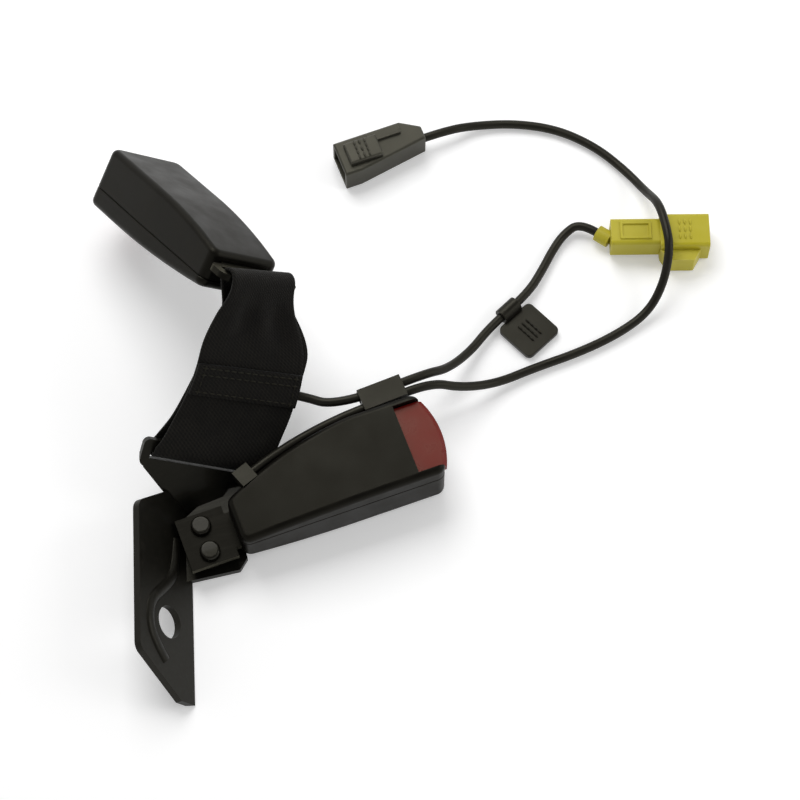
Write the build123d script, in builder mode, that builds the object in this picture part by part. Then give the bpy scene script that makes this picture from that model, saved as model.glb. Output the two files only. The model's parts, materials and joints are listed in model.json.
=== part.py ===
"""Twin rear seat belt buckle: one buckle on a rigid stalk and one on a webbing strap,
both held by a pressed steel anchor bracket, with a sensing lead and connector each.

Frame: millimetres, +Z up, the part lying on z = 0 with the stalk buckle along +X. The
origin is midway between the two stalk rivets, on the underside of the bracket's flange.
Each buckle is drawn in its own frame: X from tail to button, Y across, Z to the front
face, with z = 0 on the top face of its steel frame.
"""

import os
from math import cos, hypot, radians, sin, tan

from build123d import *

# Running gaps
SLIDE_GAP = 0.3
SEAT_GAP = 0.1
PIN_GAP = 0.05

# Housing of a buckle
HOUSING_LENGTH = 84.0
HOUSING_WIDTH = 35.0
SHELL_WALL = 2.2
FRONT_Z, BACK_Z = 14.0, -11.0
TAIL_FRONT_Z, TAIL_BACK_Z = 9.5, -6.0
FRONT_CREST = 20.0
FRONT_CREST_X = HOUSING_LENGTH - FRONT_CREST
BACK_FLAT = 36.0
BACK_FLAT_X = HOUSING_LENGTH - BACK_FLAT
PARTING_Z = 6.0
EDGE_RADIUS = 2.6
CORNER_RADIUS = 4.0
TAIL_DRAW = 1.0
STRAP_TAIL_WIDTH = HOUSING_WIDTH - 2 * TAIL_DRAW
STALK_TAIL = 19.5
STALK_TAIL_Y = STALK_TAIL - HOUSING_WIDTH / 2
STALK_SIDE_DROP = 2.6
STALK_SIDE_SET = 46.0
STALK_SIDE_X = HOUSING_LENGTH - STALK_SIDE_SET
STALK_SIDE_Y = HOUSING_WIDTH / 2 - STALK_SIDE_DROP
POST_SIZE = 5.0
POST_Y = 7.0

# Release button and the lock bar that it carries
BUTTON_RIM = 3.0
BUTTON_WIDTH = HOUSING_WIDTH - 2 * BUTTON_RIM
BUTTON_LENGTH = 15.0
BUTTON_BACK_X = HOUSING_LENGTH - BUTTON_LENGTH
BUTTON_SHOWN = 11.0
BUTTON_LIP_X = HOUSING_LENGTH - BUTTON_SHOWN
BUTTON_LOW_Z, BUTTON_TOP_Z = 6.4, 11.2
BUTTON_PROUD = 0.8
BUTTON_CROWN = 3.0
BUTTON_BEVEL = 1.6
BUTTON_TRAVEL = 6.0
ARM_Y = 13.0
ARM_WIDTH = 2.2
ARM_LENGTH = 11.0
ARM_END_X = BUTTON_BACK_X - ARM_LENGTH
ARM_LOW_Z, ARM_TOP_Z = 6.6, 9.6
LOCK_BAR_RADIUS = 1.2
LOCK_BAR_SET = 2.0
LOCK_BAR_X = BUTTON_BACK_X - LOCK_BAR_SET

# Tongue mouth
MOUTH_SIDE = 7.5
MOUTH_WIDTH = HOUSING_WIDTH - 2 * MOUTH_SIDE
MOUTH_HEIGHT = 4.8
MOUTH_LENGTH = 14.0
MOUTH_BACK_X = HOUSING_LENGTH - MOUTH_LENGTH
MOUTH_RIM = 2.6
MOUTH_LIP = 1.0
MOUTH_SILL = 4.0

# Pressed steel frame of a buckle
FRAME_SHEET = 2.5
FRAME_SET = 1.0
FRAME_END_X = MOUTH_BACK_X - FRAME_SET
GUIDE_SIDE = 5.5
GUIDE_HALF_WIDTH = HOUSING_WIDTH / 2 - GUIDE_SIDE
GUIDE_HEIGHT = 5.4
GUIDE_LENGTH = 11.0
GUIDE_X = FRAME_END_X - GUIDE_LENGTH
REAR_HALF_WIDTH = 10.5
REAR_HEIGHT = 7.8
REAR_LENGTH = 22.0
REAR_X = GUIDE_X - REAR_LENGTH
WALL_SHEET = 1.8
SEAT_TAB = 1.6

# Latch and its pin
PIN_SET = 3.0
PIN_X, PIN_Z = REAR_X + PIN_SET, 5.0
PIN_RADIUS = 1.8
HUB_RADIUS = 3.0
LATCH_HALF_WIDTH = 4.8
LATCH_SHEET = 1.8
LATCH_REACH = 10.0
LATCH_NOSE_X = PIN_X + LATCH_REACH
TOOTH_REACH = 19.0
TOOTH_X = PIN_X + TOOTH_REACH
TOOTH_THICK = 3.0
TOOTH_HALF_WIDTH = 2.6
TOOTH_TIP_Z = 3.3
WINDOW_GAP = 1.0

# Ejector and the springs
EJECTOR_SET = 0.5
EJECTOR_LENGTH = 17.0
EJECTOR_END_X = FRAME_END_X - EJECTOR_SET
EJECTOR_X = EJECTOR_END_X - EJECTOR_LENGTH
EJECTOR_HEIGHT = 1.9
EJECTOR_WEB = 3.0
EJECTOR_TRAVEL = 10.0
SPRING_WIRE = 0.5
SPRING_TURNS = 5
EJECTOR_SPRING_Y = 6.6
EJECTOR_SPRING_RADIUS = 1.2
BUTTON_SPRING_LENGTH = 10.0
BUTTON_SPRING_RADIUS = 1.1

# Belt switch in the tail of a buckle
SWITCH_SIZE = (9.0, 9.0, 5.2)
SWITCH_SIDE = 7.5
SWITCH_X, SWITCH_Y = 8.0, SWITCH_SIDE - STRAP_TAIL_WIDTH / 2

# Webbing strap and the bars that it is looped round
WEBBING_WIDTH = 46.0
WEBBING_THICK = 1.4
STRAP_THICK = 5.0
STRAP_NECK = 15.0
WEBBING_GATHER = 30.0
BAR_WIDTH = 5.0
SLOT_WIDTH = 47.0
TAIL_SLOT_WIDTH = WEBBING_GATHER + SLOT_WIDTH - WEBBING_WIDTH
SLOT_HEIGHT = 2.8
SLOT_ARM = 3.5
LOOP_GAP = 0.3
TAIL_BAR_X = -11.0
TAIL_NECK_SIDE = 4.5
TAIL_NECK_WIDTH = STRAP_TAIL_WIDTH - 2 * TAIL_NECK_SIDE
PLATE_CORNER = 4.0

# Rigid stalk of the lower buckle
STALK_YAW = 4.0
STALK_SIDE = 10.5
STALK_Y = STALK_SIDE - HOUSING_WIDTH / 2
STALK_WIDTH = 15.0
STALK_PAD_WIDTH = 22.0
STALK_PAD_X0, STALK_PAD_X1 = -21.0, -2.0

# Anchor bracket
BRACKET_SHEET = 3.0
FOLD_X, FOLD_Y = -12.0, -12.0
FOLD_HEADING = 76.6
WALL_LEAN = 35.0
WALL_HEIGHT = 29.0
WALL_FAR, WALL_NEAR = 36.0, 49.0
WALL_CORNER = 10.0
WALL_TAPER = 16.0
WALL_TIP = 5.0
FLANGE_X = 14.0
FLANGE_HALF_WIDTH = 13.0
FLANGE_FAR_X, FLANGE_FAR_Y = 20.0, 26.0
BOLT_RADIUS = 6.5
BOLT_ALONG, BOLT_UP = -19.0, 11.5
EAR_NECK = (-25.0, 10.0)
EAR_NECK_LENGTH = 36.0
RIVET_PITCH = 11.0
RIVET_RADIUS = 2.5
RIVET_HEAD_RADIUS = 4.0
RIVET_HEAD = 2.2
SPACER_RADIUS = 4.2

# Places of the two buckles and of the strap's lower bar
STALK_BUCKLE = Vector(12.0, -STALK_Y, 11.0)
STRAP_TOP = Vector(44.1, 76.8, 60.7)
STRAP_FOOT = Vector(10.0, 32.0, 16.0)
STRAP_BUCKLE_AXIS = Vector(-0.333, 0.845, -0.418)
STRAP_BUCKLE_ACROSS = Vector(0.738, -0.042, -0.67)
STRAP_FOOT_ACROSS = Vector(0.793, -0.346, -0.5)

# Leads, connectors and clips
LEAD_DIAMETER = 3.6
EDGE_CLIP_LENGTH = 18.0
EDGE_CLIP_SET = 21.0
EDGE_CLIP_X = HOUSING_LENGTH - EDGE_CLIP_SET
EDGE_CLIP_WALL = 1.0
LEAD_SPACING = 4.4
LOWER_LEAD_Z = 8.4
LEAD_OUTLET_X = 14.0
LEAD_OUTLET = 7.0
GREY_LENGTH, GREY_WIDTH, GREY_HEIGHT = 37.0, 16.0, 12.0
YELLOW_LENGTH, YELLOW_WIDTH, YELLOW_HEIGHT = 40.0, 15.0, 13.0
CONNECTOR_WALL = 1.6
CONNECTOR_NECK = 8.0
GREY_WIRE_SIDE = 3.0
GREY_TAPER = 30.0
GREY_LOCK_HEIGHT = 2.6
GREY_LOCK_ARM = 4.0
SOCKET_DEPTH = 14.0
TERMINAL_RADIUS = 0.9
TERMINAL_PITCH = 5.0
CLIP_PLATE = 18.0
CLIP_SHEET = 2.4
CLIP_BAND = 1.4

half_width = HOUSING_WIDTH / 2
lead_radius = LEAD_DIAMETER / 2
bar_middle_z = -FRAME_SHEET / 2
loop_inner = hypot(BAR_WIDTH, BRACKET_SHEET) / 2 + LOOP_GAP
loop_outer = loop_inner + WEBBING_THICK

# Frames of the two buckles, the strap's foot and the bracket's wall
stalk_axis = Vector(cos(radians(STALK_YAW)), sin(radians(STALK_YAW)), 0)
stalk_turn = Plane(origin=(0, 0, 0), x_dir=stalk_axis, z_dir=(0, 0, 1))
lower_seat = Plane(
    origin=stalk_turn.from_local_coords(STALK_BUCKLE), x_dir=stalk_axis, z_dir=(0, 0, 1)
)
upper_axis = STRAP_BUCKLE_AXIS.normalized()
upper_front = upper_axis.cross(STRAP_BUCKLE_ACROSS).normalized()
upper_across = upper_front.cross(upper_axis)
upper_seat = Plane(
    origin=STRAP_TOP - upper_axis * TAIL_BAR_X - upper_front * bar_middle_z,
    x_dir=upper_axis,
    z_dir=upper_front,
)
strap_run = (STRAP_TOP - STRAP_FOOT).normalized()
strap_length = (STRAP_TOP - STRAP_FOOT).length
foot_normal = STRAP_FOOT_ACROSS.cross(strap_run).normalized()
foot_across = strap_run.cross(foot_normal)
foot_plane = Plane(origin=STRAP_FOOT, x_dir=foot_across, z_dir=foot_normal)
fold_run = Vector(cos(radians(FOLD_HEADING)), sin(radians(FOLD_HEADING)), 0)
wall_up = Vector(
    -sin(radians(FOLD_HEADING)) * sin(radians(WALL_LEAN)),
    cos(radians(FOLD_HEADING)) * sin(radians(WALL_LEAN)),
    cos(radians(WALL_LEAN)),
)
fold_start = Vector(FOLD_X, FOLD_Y, BRACKET_SHEET / 2)
wall_plane = Plane(origin=fold_start, x_dir=fold_run, z_dir=fold_run.cross(wall_up))


def circle_through(a, b, c):
    """Centre and radius of the circle through three points of a plane."""
    ax, ay, bx, by = b[0] - a[0], b[1] - a[1], c[0] - a[0], c[1] - a[1]
    turn = 2 * (ax * by - ay * bx)
    x = (by * (ax * ax + ay * ay) - ay * (bx * bx + by * by)) / turn
    y = (ax * (bx * bx + by * by) - bx * (ax * ax + ay * ay)) / turn
    return Vector(a[0] + x, a[1] + y), hypot(x, y)


# Curved side of the stalk buckle, which its lead and the edge clip follow
side_centre, side_radius = circle_through(
    (HOUSING_LENGTH, half_width), (STALK_SIDE_X, STALK_SIDE_Y), (0.0, STALK_TAIL_Y)
)
lead_offset = lead_radius + SLIDE_GAP


def side_frame(x):
    """Frame on the curved side at x: Z along the side to the head, X outward, Y up."""
    y = side_centre.Y + (side_radius**2 - (x - side_centre.X) ** 2) ** 0.5
    outward = (Vector(x, y) - side_centre).normalized()
    return Plane(origin=Vector(x, y), x_dir=outward, z_dir=(outward.Y, -outward.X, 0))


outlet_side = side_frame(LEAD_OUTLET_X)
outlet_plane = Plane(
    origin=outlet_side.origin + outlet_side.x_dir * lead_offset,
    x_dir=outlet_side.x_dir,
    z_dir=outlet_side.z_dir,
)
clip_side = side_frame(EDGE_CLIP_X)


def write_piece(piece, name, seat=Plane.XY):
    """Place a finished piece by the frame it was drawn in, name it and write its file."""
    placed = piece.part.moved(seat.location)
    placed.label = name
    export_step(placed, f"parts/{name}.step")


def housing_form(stalk, inset):
    """Solid inside of the housing's outer faces, drawn in by a wall of this thickness."""
    tail, head = inset, HOUSING_LENGTH - inset
    side = half_width - inset
    with BuildPart() as form:
        with BuildSketch():
            with BuildLine():
                if stalk:
                    Polyline((tail, STALK_TAIL_Y - inset), (tail, -side), (head, -side), (head, side))
                    ThreePointArc(
                        (head, side), (STALK_SIDE_X, STALK_SIDE_Y - inset), (tail, STALK_TAIL_Y - inset)
                    )
                else:
                    tail_side = STRAP_TAIL_WIDTH / 2 - inset
                    Polyline((BACK_FLAT_X, side), (head, side), (head, -side), (BACK_FLAT_X, -side))
                    Polyline((BACK_FLAT_X, -side), (tail, -tail_side), (tail, tail_side), (BACK_FLAT_X, side))
            make_face()
        extrude(amount=FRONT_Z)
        extrude(form.faces().sort_by(Axis.Z)[0], amount=-BACK_Z)
        with BuildSketch(Plane.XZ):
            with BuildLine():
                TangentArc((FRONT_CREST_X, FRONT_Z - inset), (tail, TAIL_FRONT_Z - inset), tangent=(-1, 0))
                Polyline(
                    (FRONT_CREST_X, FRONT_Z - inset),
                    (head, FRONT_Z - inset),
                    (head, BACK_Z + inset),
                    (BACK_FLAT_X, BACK_Z + inset),
                )
                TangentArc((BACK_FLAT_X, BACK_Z + inset), (tail, TAIL_BACK_Z + inset), tangent=(-1, 0))
                Line((tail, TAIL_BACK_Z + inset), (tail, TAIL_FRONT_Z - inset))
            make_face()
        extrude(amount=half_width, both=True, mode=Mode.INTERSECT)
    return form.part


def rounded_form(stalk):
    """Outer form of the housing with its front and back rims rounded."""
    with BuildPart() as rounded:
        add(housing_form(stalk, 0.0))
        fillet(rounded.edges().filter_by(Axis.Z), CORNER_RADIUS)
        broad = rounded.faces().filter_by(lambda face: abs(face.normal_at().Z) > 0.5)
        creases = (FRONT_CREST_X, BACK_FLAT_X)
        rim = [
            edge
            for edge in broad.edges()
            if min(abs(edge.center().X - x) for x in creases) > EDGE_RADIUS or abs(edge.center().Y) > EDGE_RADIUS
        ]
        fillet(rim, EDGE_RADIUS)
    return rounded.part


def tail_slot(stalk):
    """Centre and width of the opening in the tail that the steel frame comes out of."""
    return (STALK_Y, STALK_WIDTH) if stalk else (0.0, TAIL_NECK_WIDTH)


def make_back_shell(outer, cavity, stalk):
    """Deep half of the housing, with the tail opening, the mouth opening and four posts."""
    slot_y, slot_width = tail_slot(stalk)
    mouth_width = MOUTH_WIDTH + 2 * (MOUTH_RIM + SEAT_GAP)
    post_height = -FRAME_SHEET - BACK_Z - SHELL_WALL
    with BuildPart() as shell:
        add(outer)
        split(bisect_by=Plane.XY.offset(PARTING_Z), keep=Keep.BOTTOM)
        add(cavity, mode=Mode.SUBTRACT)
        with BuildSketch(Plane.YZ):
            with Locations((slot_y, bar_middle_z)):
                Rectangle(slot_width + 2 * SLIDE_GAP, FRAME_SHEET + 2 * SLIDE_GAP)
        extrude(amount=2 * SHELL_WALL, mode=Mode.SUBTRACT)
        with BuildSketch(Plane.YZ.offset(HOUSING_LENGTH)):
            with Locations((0, -MOUTH_SILL - SEAT_GAP)):
                Rectangle(
                    mouth_width,
                    PARTING_Z + MOUTH_SILL + SEAT_GAP,
                    align=(Align.CENTER, Align.MIN),
                )
        extrude(amount=-2 * SHELL_WALL, mode=Mode.SUBTRACT)
        with Locations(Plane.XY.offset(-FRAME_SHEET)):
            with Locations(*[(x, y) for x in (BACK_FLAT_X, GUIDE_X + POST_SIZE) for y in (-POST_Y, POST_Y)]):
                Box(
                    POST_SIZE,
                    POST_SIZE,
                    post_height,
                    align=(Align.CENTER, Align.CENTER, Align.MAX),
                )
    return shell


def make_front_shell(outer, cavity):
    """Shallow half of the housing, open at the head for the button."""
    pocket_width = BUTTON_WIDTH + 2 * SLIDE_GAP
    with BuildPart() as shell:
        add(outer)
        split(bisect_by=Plane.XY.offset(PARTING_Z), keep=Keep.TOP)
        add(cavity, mode=Mode.SUBTRACT)
        with BuildSketch(Plane.XY.offset(PARTING_Z)):
            with Locations((BUTTON_LIP_X, 0)):
                Rectangle(HOUSING_LENGTH, pocket_width, align=(Align.MIN, Align.CENTER))
        extrude(amount=FRONT_Z, mode=Mode.SUBTRACT)
    return shell


def make_mouth():
    """Plastic mouth that leads the tongue in, level with the steel frame."""
    length = HOUSING_LENGTH - MOUTH_BACK_X
    with BuildPart() as mouth:
        with BuildSketch(Plane.YZ.offset(MOUTH_BACK_X)):
            with Locations((0, -MOUTH_SILL)):
                Rectangle(
                    MOUTH_WIDTH + 2 * MOUTH_RIM,
                    MOUTH_SILL + MOUTH_HEIGHT + MOUTH_LIP,
                    align=(Align.CENTER, Align.MIN),
                )
            Rectangle(MOUTH_WIDTH, MOUTH_HEIGHT, align=(Align.CENTER, Align.MIN), mode=Mode.SUBTRACT)
        extrude(amount=length)
    return mouth


def make_button():
    """Release button with its crowned nose and its two arms, bored for the lock bar."""
    nose_x, side_y = HOUSING_LENGTH + BUTTON_PROUD, BUTTON_WIDTH / 2
    with BuildPart() as button:
        with BuildSketch(Plane.XY.offset(BUTTON_LOW_Z)):
            with BuildLine():
                Polyline((nose_x, -side_y), (BUTTON_BACK_X, -side_y), (BUTTON_BACK_X, side_y), (nose_x, side_y))
                ThreePointArc((nose_x, side_y), (nose_x + BUTTON_CROWN, 0), (nose_x, -side_y))
            make_face()
        extrude(amount=BUTTON_TOP_Z - BUTTON_LOW_Z)
        nose = button.faces().sort_by(Axis.X)[-1].edges().sort_by(Axis.Z)[-1]
        chamfer(nose, BUTTON_BEVEL)
        for side in (-1, 1):
            with BuildSketch(Plane.XY.offset(ARM_LOW_Z)):
                with Locations((ARM_END_X, side * ARM_Y)):
                    Rectangle(BUTTON_BACK_X + 1 - ARM_END_X, ARM_WIDTH, align=(Align.MIN, Align.CENTER))
            extrude(amount=ARM_TOP_Z - ARM_LOW_Z)
        with BuildSketch(Plane.XZ):
            with Locations((LOCK_BAR_X, (ARM_LOW_Z + ARM_TOP_Z) / 2)):
                Circle(LOCK_BAR_RADIUS + PIN_GAP)
        extrude(amount=half_width, both=True, mode=Mode.SUBTRACT)
    return button


def make_lock_bar():
    """Round bar across the button's arms."""
    with BuildPart() as bar:
        with BuildSketch(Plane.XZ):
            with Locations((LOCK_BAR_X, (ARM_LOW_Z + ARM_TOP_Z) / 2)):
                Circle(LOCK_BAR_RADIUS)
        extrude(amount=ARM_Y + ARM_WIDTH / 2, both=True)
    return bar


def make_frame(stalk):
    """Pressed steel frame: base plate, guide walls, pin walls and spring seats, with the
    riveted stalk pad or the webbing slot at its tail."""
    tooth_slot = TOOTH_THICK + 2 * WINDOW_GAP
    tab_inner = REAR_HALF_WIDTH - WALL_SHEET
    tab_outer = ARM_Y + BUTTON_SPRING_RADIUS
    with BuildPart() as frame:
        with BuildSketch(Plane.XY.offset(-FRAME_SHEET)):
            with Locations((GUIDE_X, 0)):
                Rectangle(FRAME_END_X - GUIDE_X, 2 * GUIDE_HALF_WIDTH, align=(Align.MIN, Align.CENTER))
            with BuildLine():
                if stalk:
                    near, far = STALK_Y - STALK_WIDTH / 2, STALK_Y + STALK_WIDTH / 2
                else:
                    near, far = -TAIL_NECK_WIDTH / 2, TAIL_NECK_WIDTH / 2
                Polyline(
                    (GUIDE_X, REAR_HALF_WIDTH),
                    (REAR_X, REAR_HALF_WIDTH),
                    (REAR_X / 2, far),
                    (STALK_PAD_X1, far),
                    (STALK_PAD_X1, near),
                    (REAR_X / 2, near),
                    (REAR_X, -REAR_HALF_WIDTH),
                    (GUIDE_X, -REAR_HALF_WIDTH),
                    close=True,
                )
            make_face()
            if stalk:
                with Locations((STALK_PAD_X0, STALK_Y)):
                    Rectangle(
                        STALK_PAD_X1 - STALK_PAD_X0,
                        STALK_PAD_WIDTH,
                        align=(Align.MIN, Align.CENTER),
                    )
                for side in (-1, 1):
                    with Locations((-STALK_BUCKLE.X, STALK_Y + side * RIVET_PITCH / 2)):
                        Circle(RIVET_RADIUS + PIN_GAP, mode=Mode.SUBTRACT)
            else:
                with Locations((TAIL_BAR_X - BAR_WIDTH / 2, 0)):
                    RectangleRounded(
                        STALK_PAD_X1 - TAIL_BAR_X + BAR_WIDTH / 2,
                        TAIL_SLOT_WIDTH + 2 * SLOT_ARM,
                        PLATE_CORNER,
                        align=(Align.MIN, Align.CENTER),
                    )
                with Locations((TAIL_BAR_X + BAR_WIDTH / 2, 0)):
                    Rectangle(
                        SLOT_HEIGHT,
                        TAIL_SLOT_WIDTH,
                        align=(Align.MIN, Align.CENTER),
                        mode=Mode.SUBTRACT,
                    )
            with Locations((TOOTH_X, 0)):
                Rectangle(tooth_slot, 2 * (TOOTH_HALF_WIDTH + WINDOW_GAP), mode=Mode.SUBTRACT)
        extrude(amount=FRAME_SHEET)
        for side in (-1, 1):
            with BuildSketch():
                with Locations((GUIDE_X, side * (GUIDE_HALF_WIDTH - WALL_SHEET / 2))):
                    Rectangle(FRAME_END_X - GUIDE_X, WALL_SHEET, align=(Align.MIN, Align.CENTER))
            extrude(amount=GUIDE_HEIGHT)
            with BuildSketch():
                with Locations((REAR_X, side * (REAR_HALF_WIDTH - WALL_SHEET / 2))):
                    Rectangle(GUIDE_X - REAR_X, WALL_SHEET, align=(Align.MIN, Align.CENTER))
            extrude(amount=REAR_HEIGHT)
            with BuildSketch():
                with Locations((REAR_X - SEAT_TAB, side * EJECTOR_SPRING_Y)):
                    Rectangle(
                        SEAT_TAB,
                        2 * (REAR_HALF_WIDTH - EJECTOR_SPRING_Y),
                        align=(Align.MIN, Align.CENTER),
                    )
            extrude(amount=REAR_HEIGHT / 2)
            with BuildSketch(Plane.XY.offset(ARM_LOW_Z - SEAT_TAB)):
                with Locations((ARM_END_X - BUTTON_SPRING_LENGTH, side * (tab_inner + tab_outer) / 2)):
                    Rectangle(SEAT_TAB, tab_outer - tab_inner, align=(Align.MAX, Align.CENTER))
            extrude(amount=ARM_TOP_Z - ARM_LOW_Z + SEAT_TAB)
        with BuildSketch(Plane.XZ):
            with Locations((PIN_X, PIN_Z)):
                Circle(PIN_RADIUS + PIN_GAP)
        extrude(amount=half_width, both=True, mode=Mode.SUBTRACT)
    return frame


def make_latch():
    """Latch lever, held up over the empty mouth, with its hub and locking tooth."""
    plate_z = PIN_Z + LATCH_SHEET / 2 - PIN_GAP
    with BuildPart() as latch:
        with BuildSketch(Plane.XZ):
            with Locations((PIN_X, PIN_Z)):
                Circle(HUB_RADIUS)
            with Locations((PIN_X, plate_z)):
                Rectangle(LATCH_NOSE_X - PIN_X, LATCH_SHEET, align=(Align.MIN, Align.CENTER))
        extrude(amount=LATCH_HALF_WIDTH, both=True)
        with BuildSketch(Plane.XZ):
            with Locations((LATCH_NOSE_X - LATCH_SHEET, plate_z)):
                Rectangle(
                    TOOTH_X + TOOTH_THICK / 2 - LATCH_NOSE_X + LATCH_SHEET,
                    LATCH_SHEET,
                    align=(Align.MIN, Align.CENTER),
                )
            with Locations((TOOTH_X, TOOTH_TIP_Z)):
                Rectangle(TOOTH_THICK, plate_z - TOOTH_TIP_Z, align=(Align.CENTER, Align.MIN))
        extrude(amount=TOOTH_HALF_WIDTH, both=True)
        with BuildSketch(Plane.XZ):
            with Locations((PIN_X, PIN_Z)):
                Circle(PIN_RADIUS + PIN_GAP)
        extrude(amount=half_width, both=True, mode=Mode.SUBTRACT)
    return latch


def make_latch_pin():
    """Pin through the frame's rear walls that the latch turns on."""
    with BuildPart() as pin:
        with BuildSketch(Plane.XZ):
            with Locations((PIN_X, PIN_Z)):
                Circle(PIN_RADIUS)
        extrude(amount=REAR_HALF_WIDTH + SLIDE_GAP, both=True)
    return pin


def make_ejector():
    """Forked slider that the tongue pushes back, clear of the latch's tooth."""
    half = REAR_HALF_WIDTH - WALL_SHEET - SLIDE_GAP
    with BuildPart() as ejector:
        with BuildSketch(Plane.XY.offset(SEAT_GAP)):
            with Locations((EJECTOR_X, 0)):
                Rectangle(EJECTOR_END_X - EJECTOR_X, 2 * half, align=(Align.MIN, Align.CENTER))
            with Locations((EJECTOR_X + EJECTOR_WEB, 0)):
                Rectangle(
                    EJECTOR_END_X - EJECTOR_X,
                    2 * (TOOTH_HALF_WIDTH + WINDOW_GAP / 2),
                    align=(Align.MIN, Align.CENTER),
                    mode=Mode.SUBTRACT,
                )
        extrude(amount=EJECTOR_HEIGHT)
    return ejector


def make_springs(start_x, end_x, y, z, radius):
    """Pair of coil springs along X, one on each side."""
    length = end_x - start_x - 2 * SEAT_GAP - SPRING_WIRE
    with BuildPart() as springs:
        for side in (-1, 1):
            with BuildLine() as coil:
                Helix(
                    pitch=length / SPRING_TURNS,
                    height=length,
                    radius=radius,
                    center=(start_x + SEAT_GAP + SPRING_WIRE / 2, side * y, z),
                    direction=(1, 0, 0),
                )
            with BuildSketch(Plane(origin=coil.line @ 0, z_dir=coil.line % 0)):
                Circle(SPRING_WIRE / 2)
            sweep(path=coil.line, is_frenet=True)
    return springs


def make_switch():
    """Belt switch in the tail of the buckle, on the steel frame."""
    with BuildPart() as switch:
        with Locations((SWITCH_X, SWITCH_Y, 0)):
            Box(*SWITCH_SIZE, align=(Align.CENTER, Align.CENTER, Align.MIN))
        fillet(switch.edges().filter_by(Axis.Z), SHELL_WALL / 2)
    return switch


def write_buckle(prefix, stalk, seat):
    """Make every piece of one buckle in its own frame and write it where it sits."""
    outer = rounded_form(stalk)
    cavity = housing_form(stalk, SHELL_WALL)
    write_piece(make_back_shell(outer, cavity, stalk), prefix + "_back_shell", seat)
    write_piece(make_front_shell(outer, cavity), prefix + "_front_shell", seat)
    write_piece(make_mouth(), prefix + "_tongue_mouth", seat)
    write_piece(make_button(), prefix + "_button", seat)
    write_piece(make_lock_bar(), prefix + "_lock_bar", seat)
    write_piece(make_frame(stalk), prefix + "_frame", seat)
    write_piece(make_latch(), prefix + "_latch", seat)
    write_piece(make_latch_pin(), prefix + "_latch_pin", seat)
    write_piece(make_ejector(), prefix + "_ejector", seat)
    ejector_springs = make_springs(
        REAR_X,
        EJECTOR_X,
        EJECTOR_SPRING_Y,
        EJECTOR_SPRING_RADIUS + SPRING_WIRE,
        EJECTOR_SPRING_RADIUS,
    )
    write_piece(ejector_springs, prefix + "_ejector_springs", seat)
    button_springs = make_springs(
        ARM_END_X - BUTTON_SPRING_LENGTH,
        ARM_END_X,
        ARM_Y,
        (ARM_LOW_Z + ARM_TOP_Z) / 2,
        BUTTON_SPRING_RADIUS,
    )
    write_piece(button_springs, prefix + "_button_springs", seat)
    write_piece(make_switch(), prefix + "_switch", seat)


def make_bracket():
    """Anchor bracket: flange under the stalk, leaning wall with the bolt hole, and the
    slotted ear that the strap is looped round."""
    ear_edge = BAR_WIDTH / 2
    ear_foot = -ear_edge - SLOT_HEIGHT - SLOT_ARM
    with BuildPart() as ear:
        with BuildSketch(foot_plane):
            with Locations((0, (ear_edge + ear_foot) / 2)):
                RectangleRounded(SLOT_WIDTH + 2 * SLOT_ARM, ear_edge - ear_foot, BAR_WIDTH / 2)
            with Locations((sum(EAR_NECK) / 2, ear_foot + PLATE_CORNER)):
                Rectangle(
                    EAR_NECK[1] - EAR_NECK[0],
                    EAR_NECK_LENGTH,
                    align=(Align.CENTER, Align.MAX),
                )
            with Locations((0, -ear_edge)):
                Rectangle(SLOT_WIDTH, SLOT_HEIGHT, align=(Align.CENTER, Align.MAX), mode=Mode.SUBTRACT)
        extrude(amount=BRACKET_SHEET / 2, both=True)
        split(bisect_by=wall_plane, keep=Keep.TOP)
    with BuildPart() as bracket:
        with BuildSketch():
            with BuildLine():
                fold_far = fold_start + fold_run * (WALL_FAR - WALL_CORNER)
                Polyline(
                    (fold_start.X, fold_start.Y),
                    (FLANGE_X - PLATE_CORNER, -FLANGE_HALF_WIDTH),
                    (FLANGE_X, PLATE_CORNER - FLANGE_HALF_WIDTH),
                    (FLANGE_X, FLANGE_HALF_WIDTH - PLATE_CORNER),
                    (FLANGE_FAR_X, FLANGE_FAR_Y - PLATE_CORNER),
                    (FLANGE_FAR_X - PLATE_CORNER, FLANGE_FAR_Y),
                    (fold_far.X, fold_far.Y),
                    close=True,
                )
            make_face()
            for side in (-1, 1):
                with Locations(stalk_turn.from_local_coords((0, side * RIVET_PITCH / 2, 0))):
                    Circle(RIVET_RADIUS + PIN_GAP, mode=Mode.SUBTRACT)
        extrude(amount=BRACKET_SHEET)
        with BuildSketch(wall_plane) as face:
            with BuildLine():
                Polyline(
                    (-WALL_NEAR, -BRACKET_SHEET),
                    (WALL_FAR - WALL_CORNER, -BRACKET_SHEET),
                    (WALL_FAR, WALL_HEIGHT / 3),
                    (WALL_FAR - WALL_CORNER, WALL_HEIGHT),
                    (WALL_TAPER - WALL_NEAR, WALL_HEIGHT),
                    (-WALL_NEAR, WALL_TIP),
                    close=True,
                )
            make_face()
            fillet(face.vertices().group_by(Axis.Y)[-1], WALL_CORNER / 2)
            with Locations((BOLT_ALONG, BOLT_UP)):
                Circle(BOLT_RADIUS, mode=Mode.SUBTRACT)
        extrude(amount=BRACKET_SHEET / 2, both=True)
        add(ear.part)
        split(bisect_by=Plane.XY, keep=Keep.TOP)
    return bracket


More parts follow.
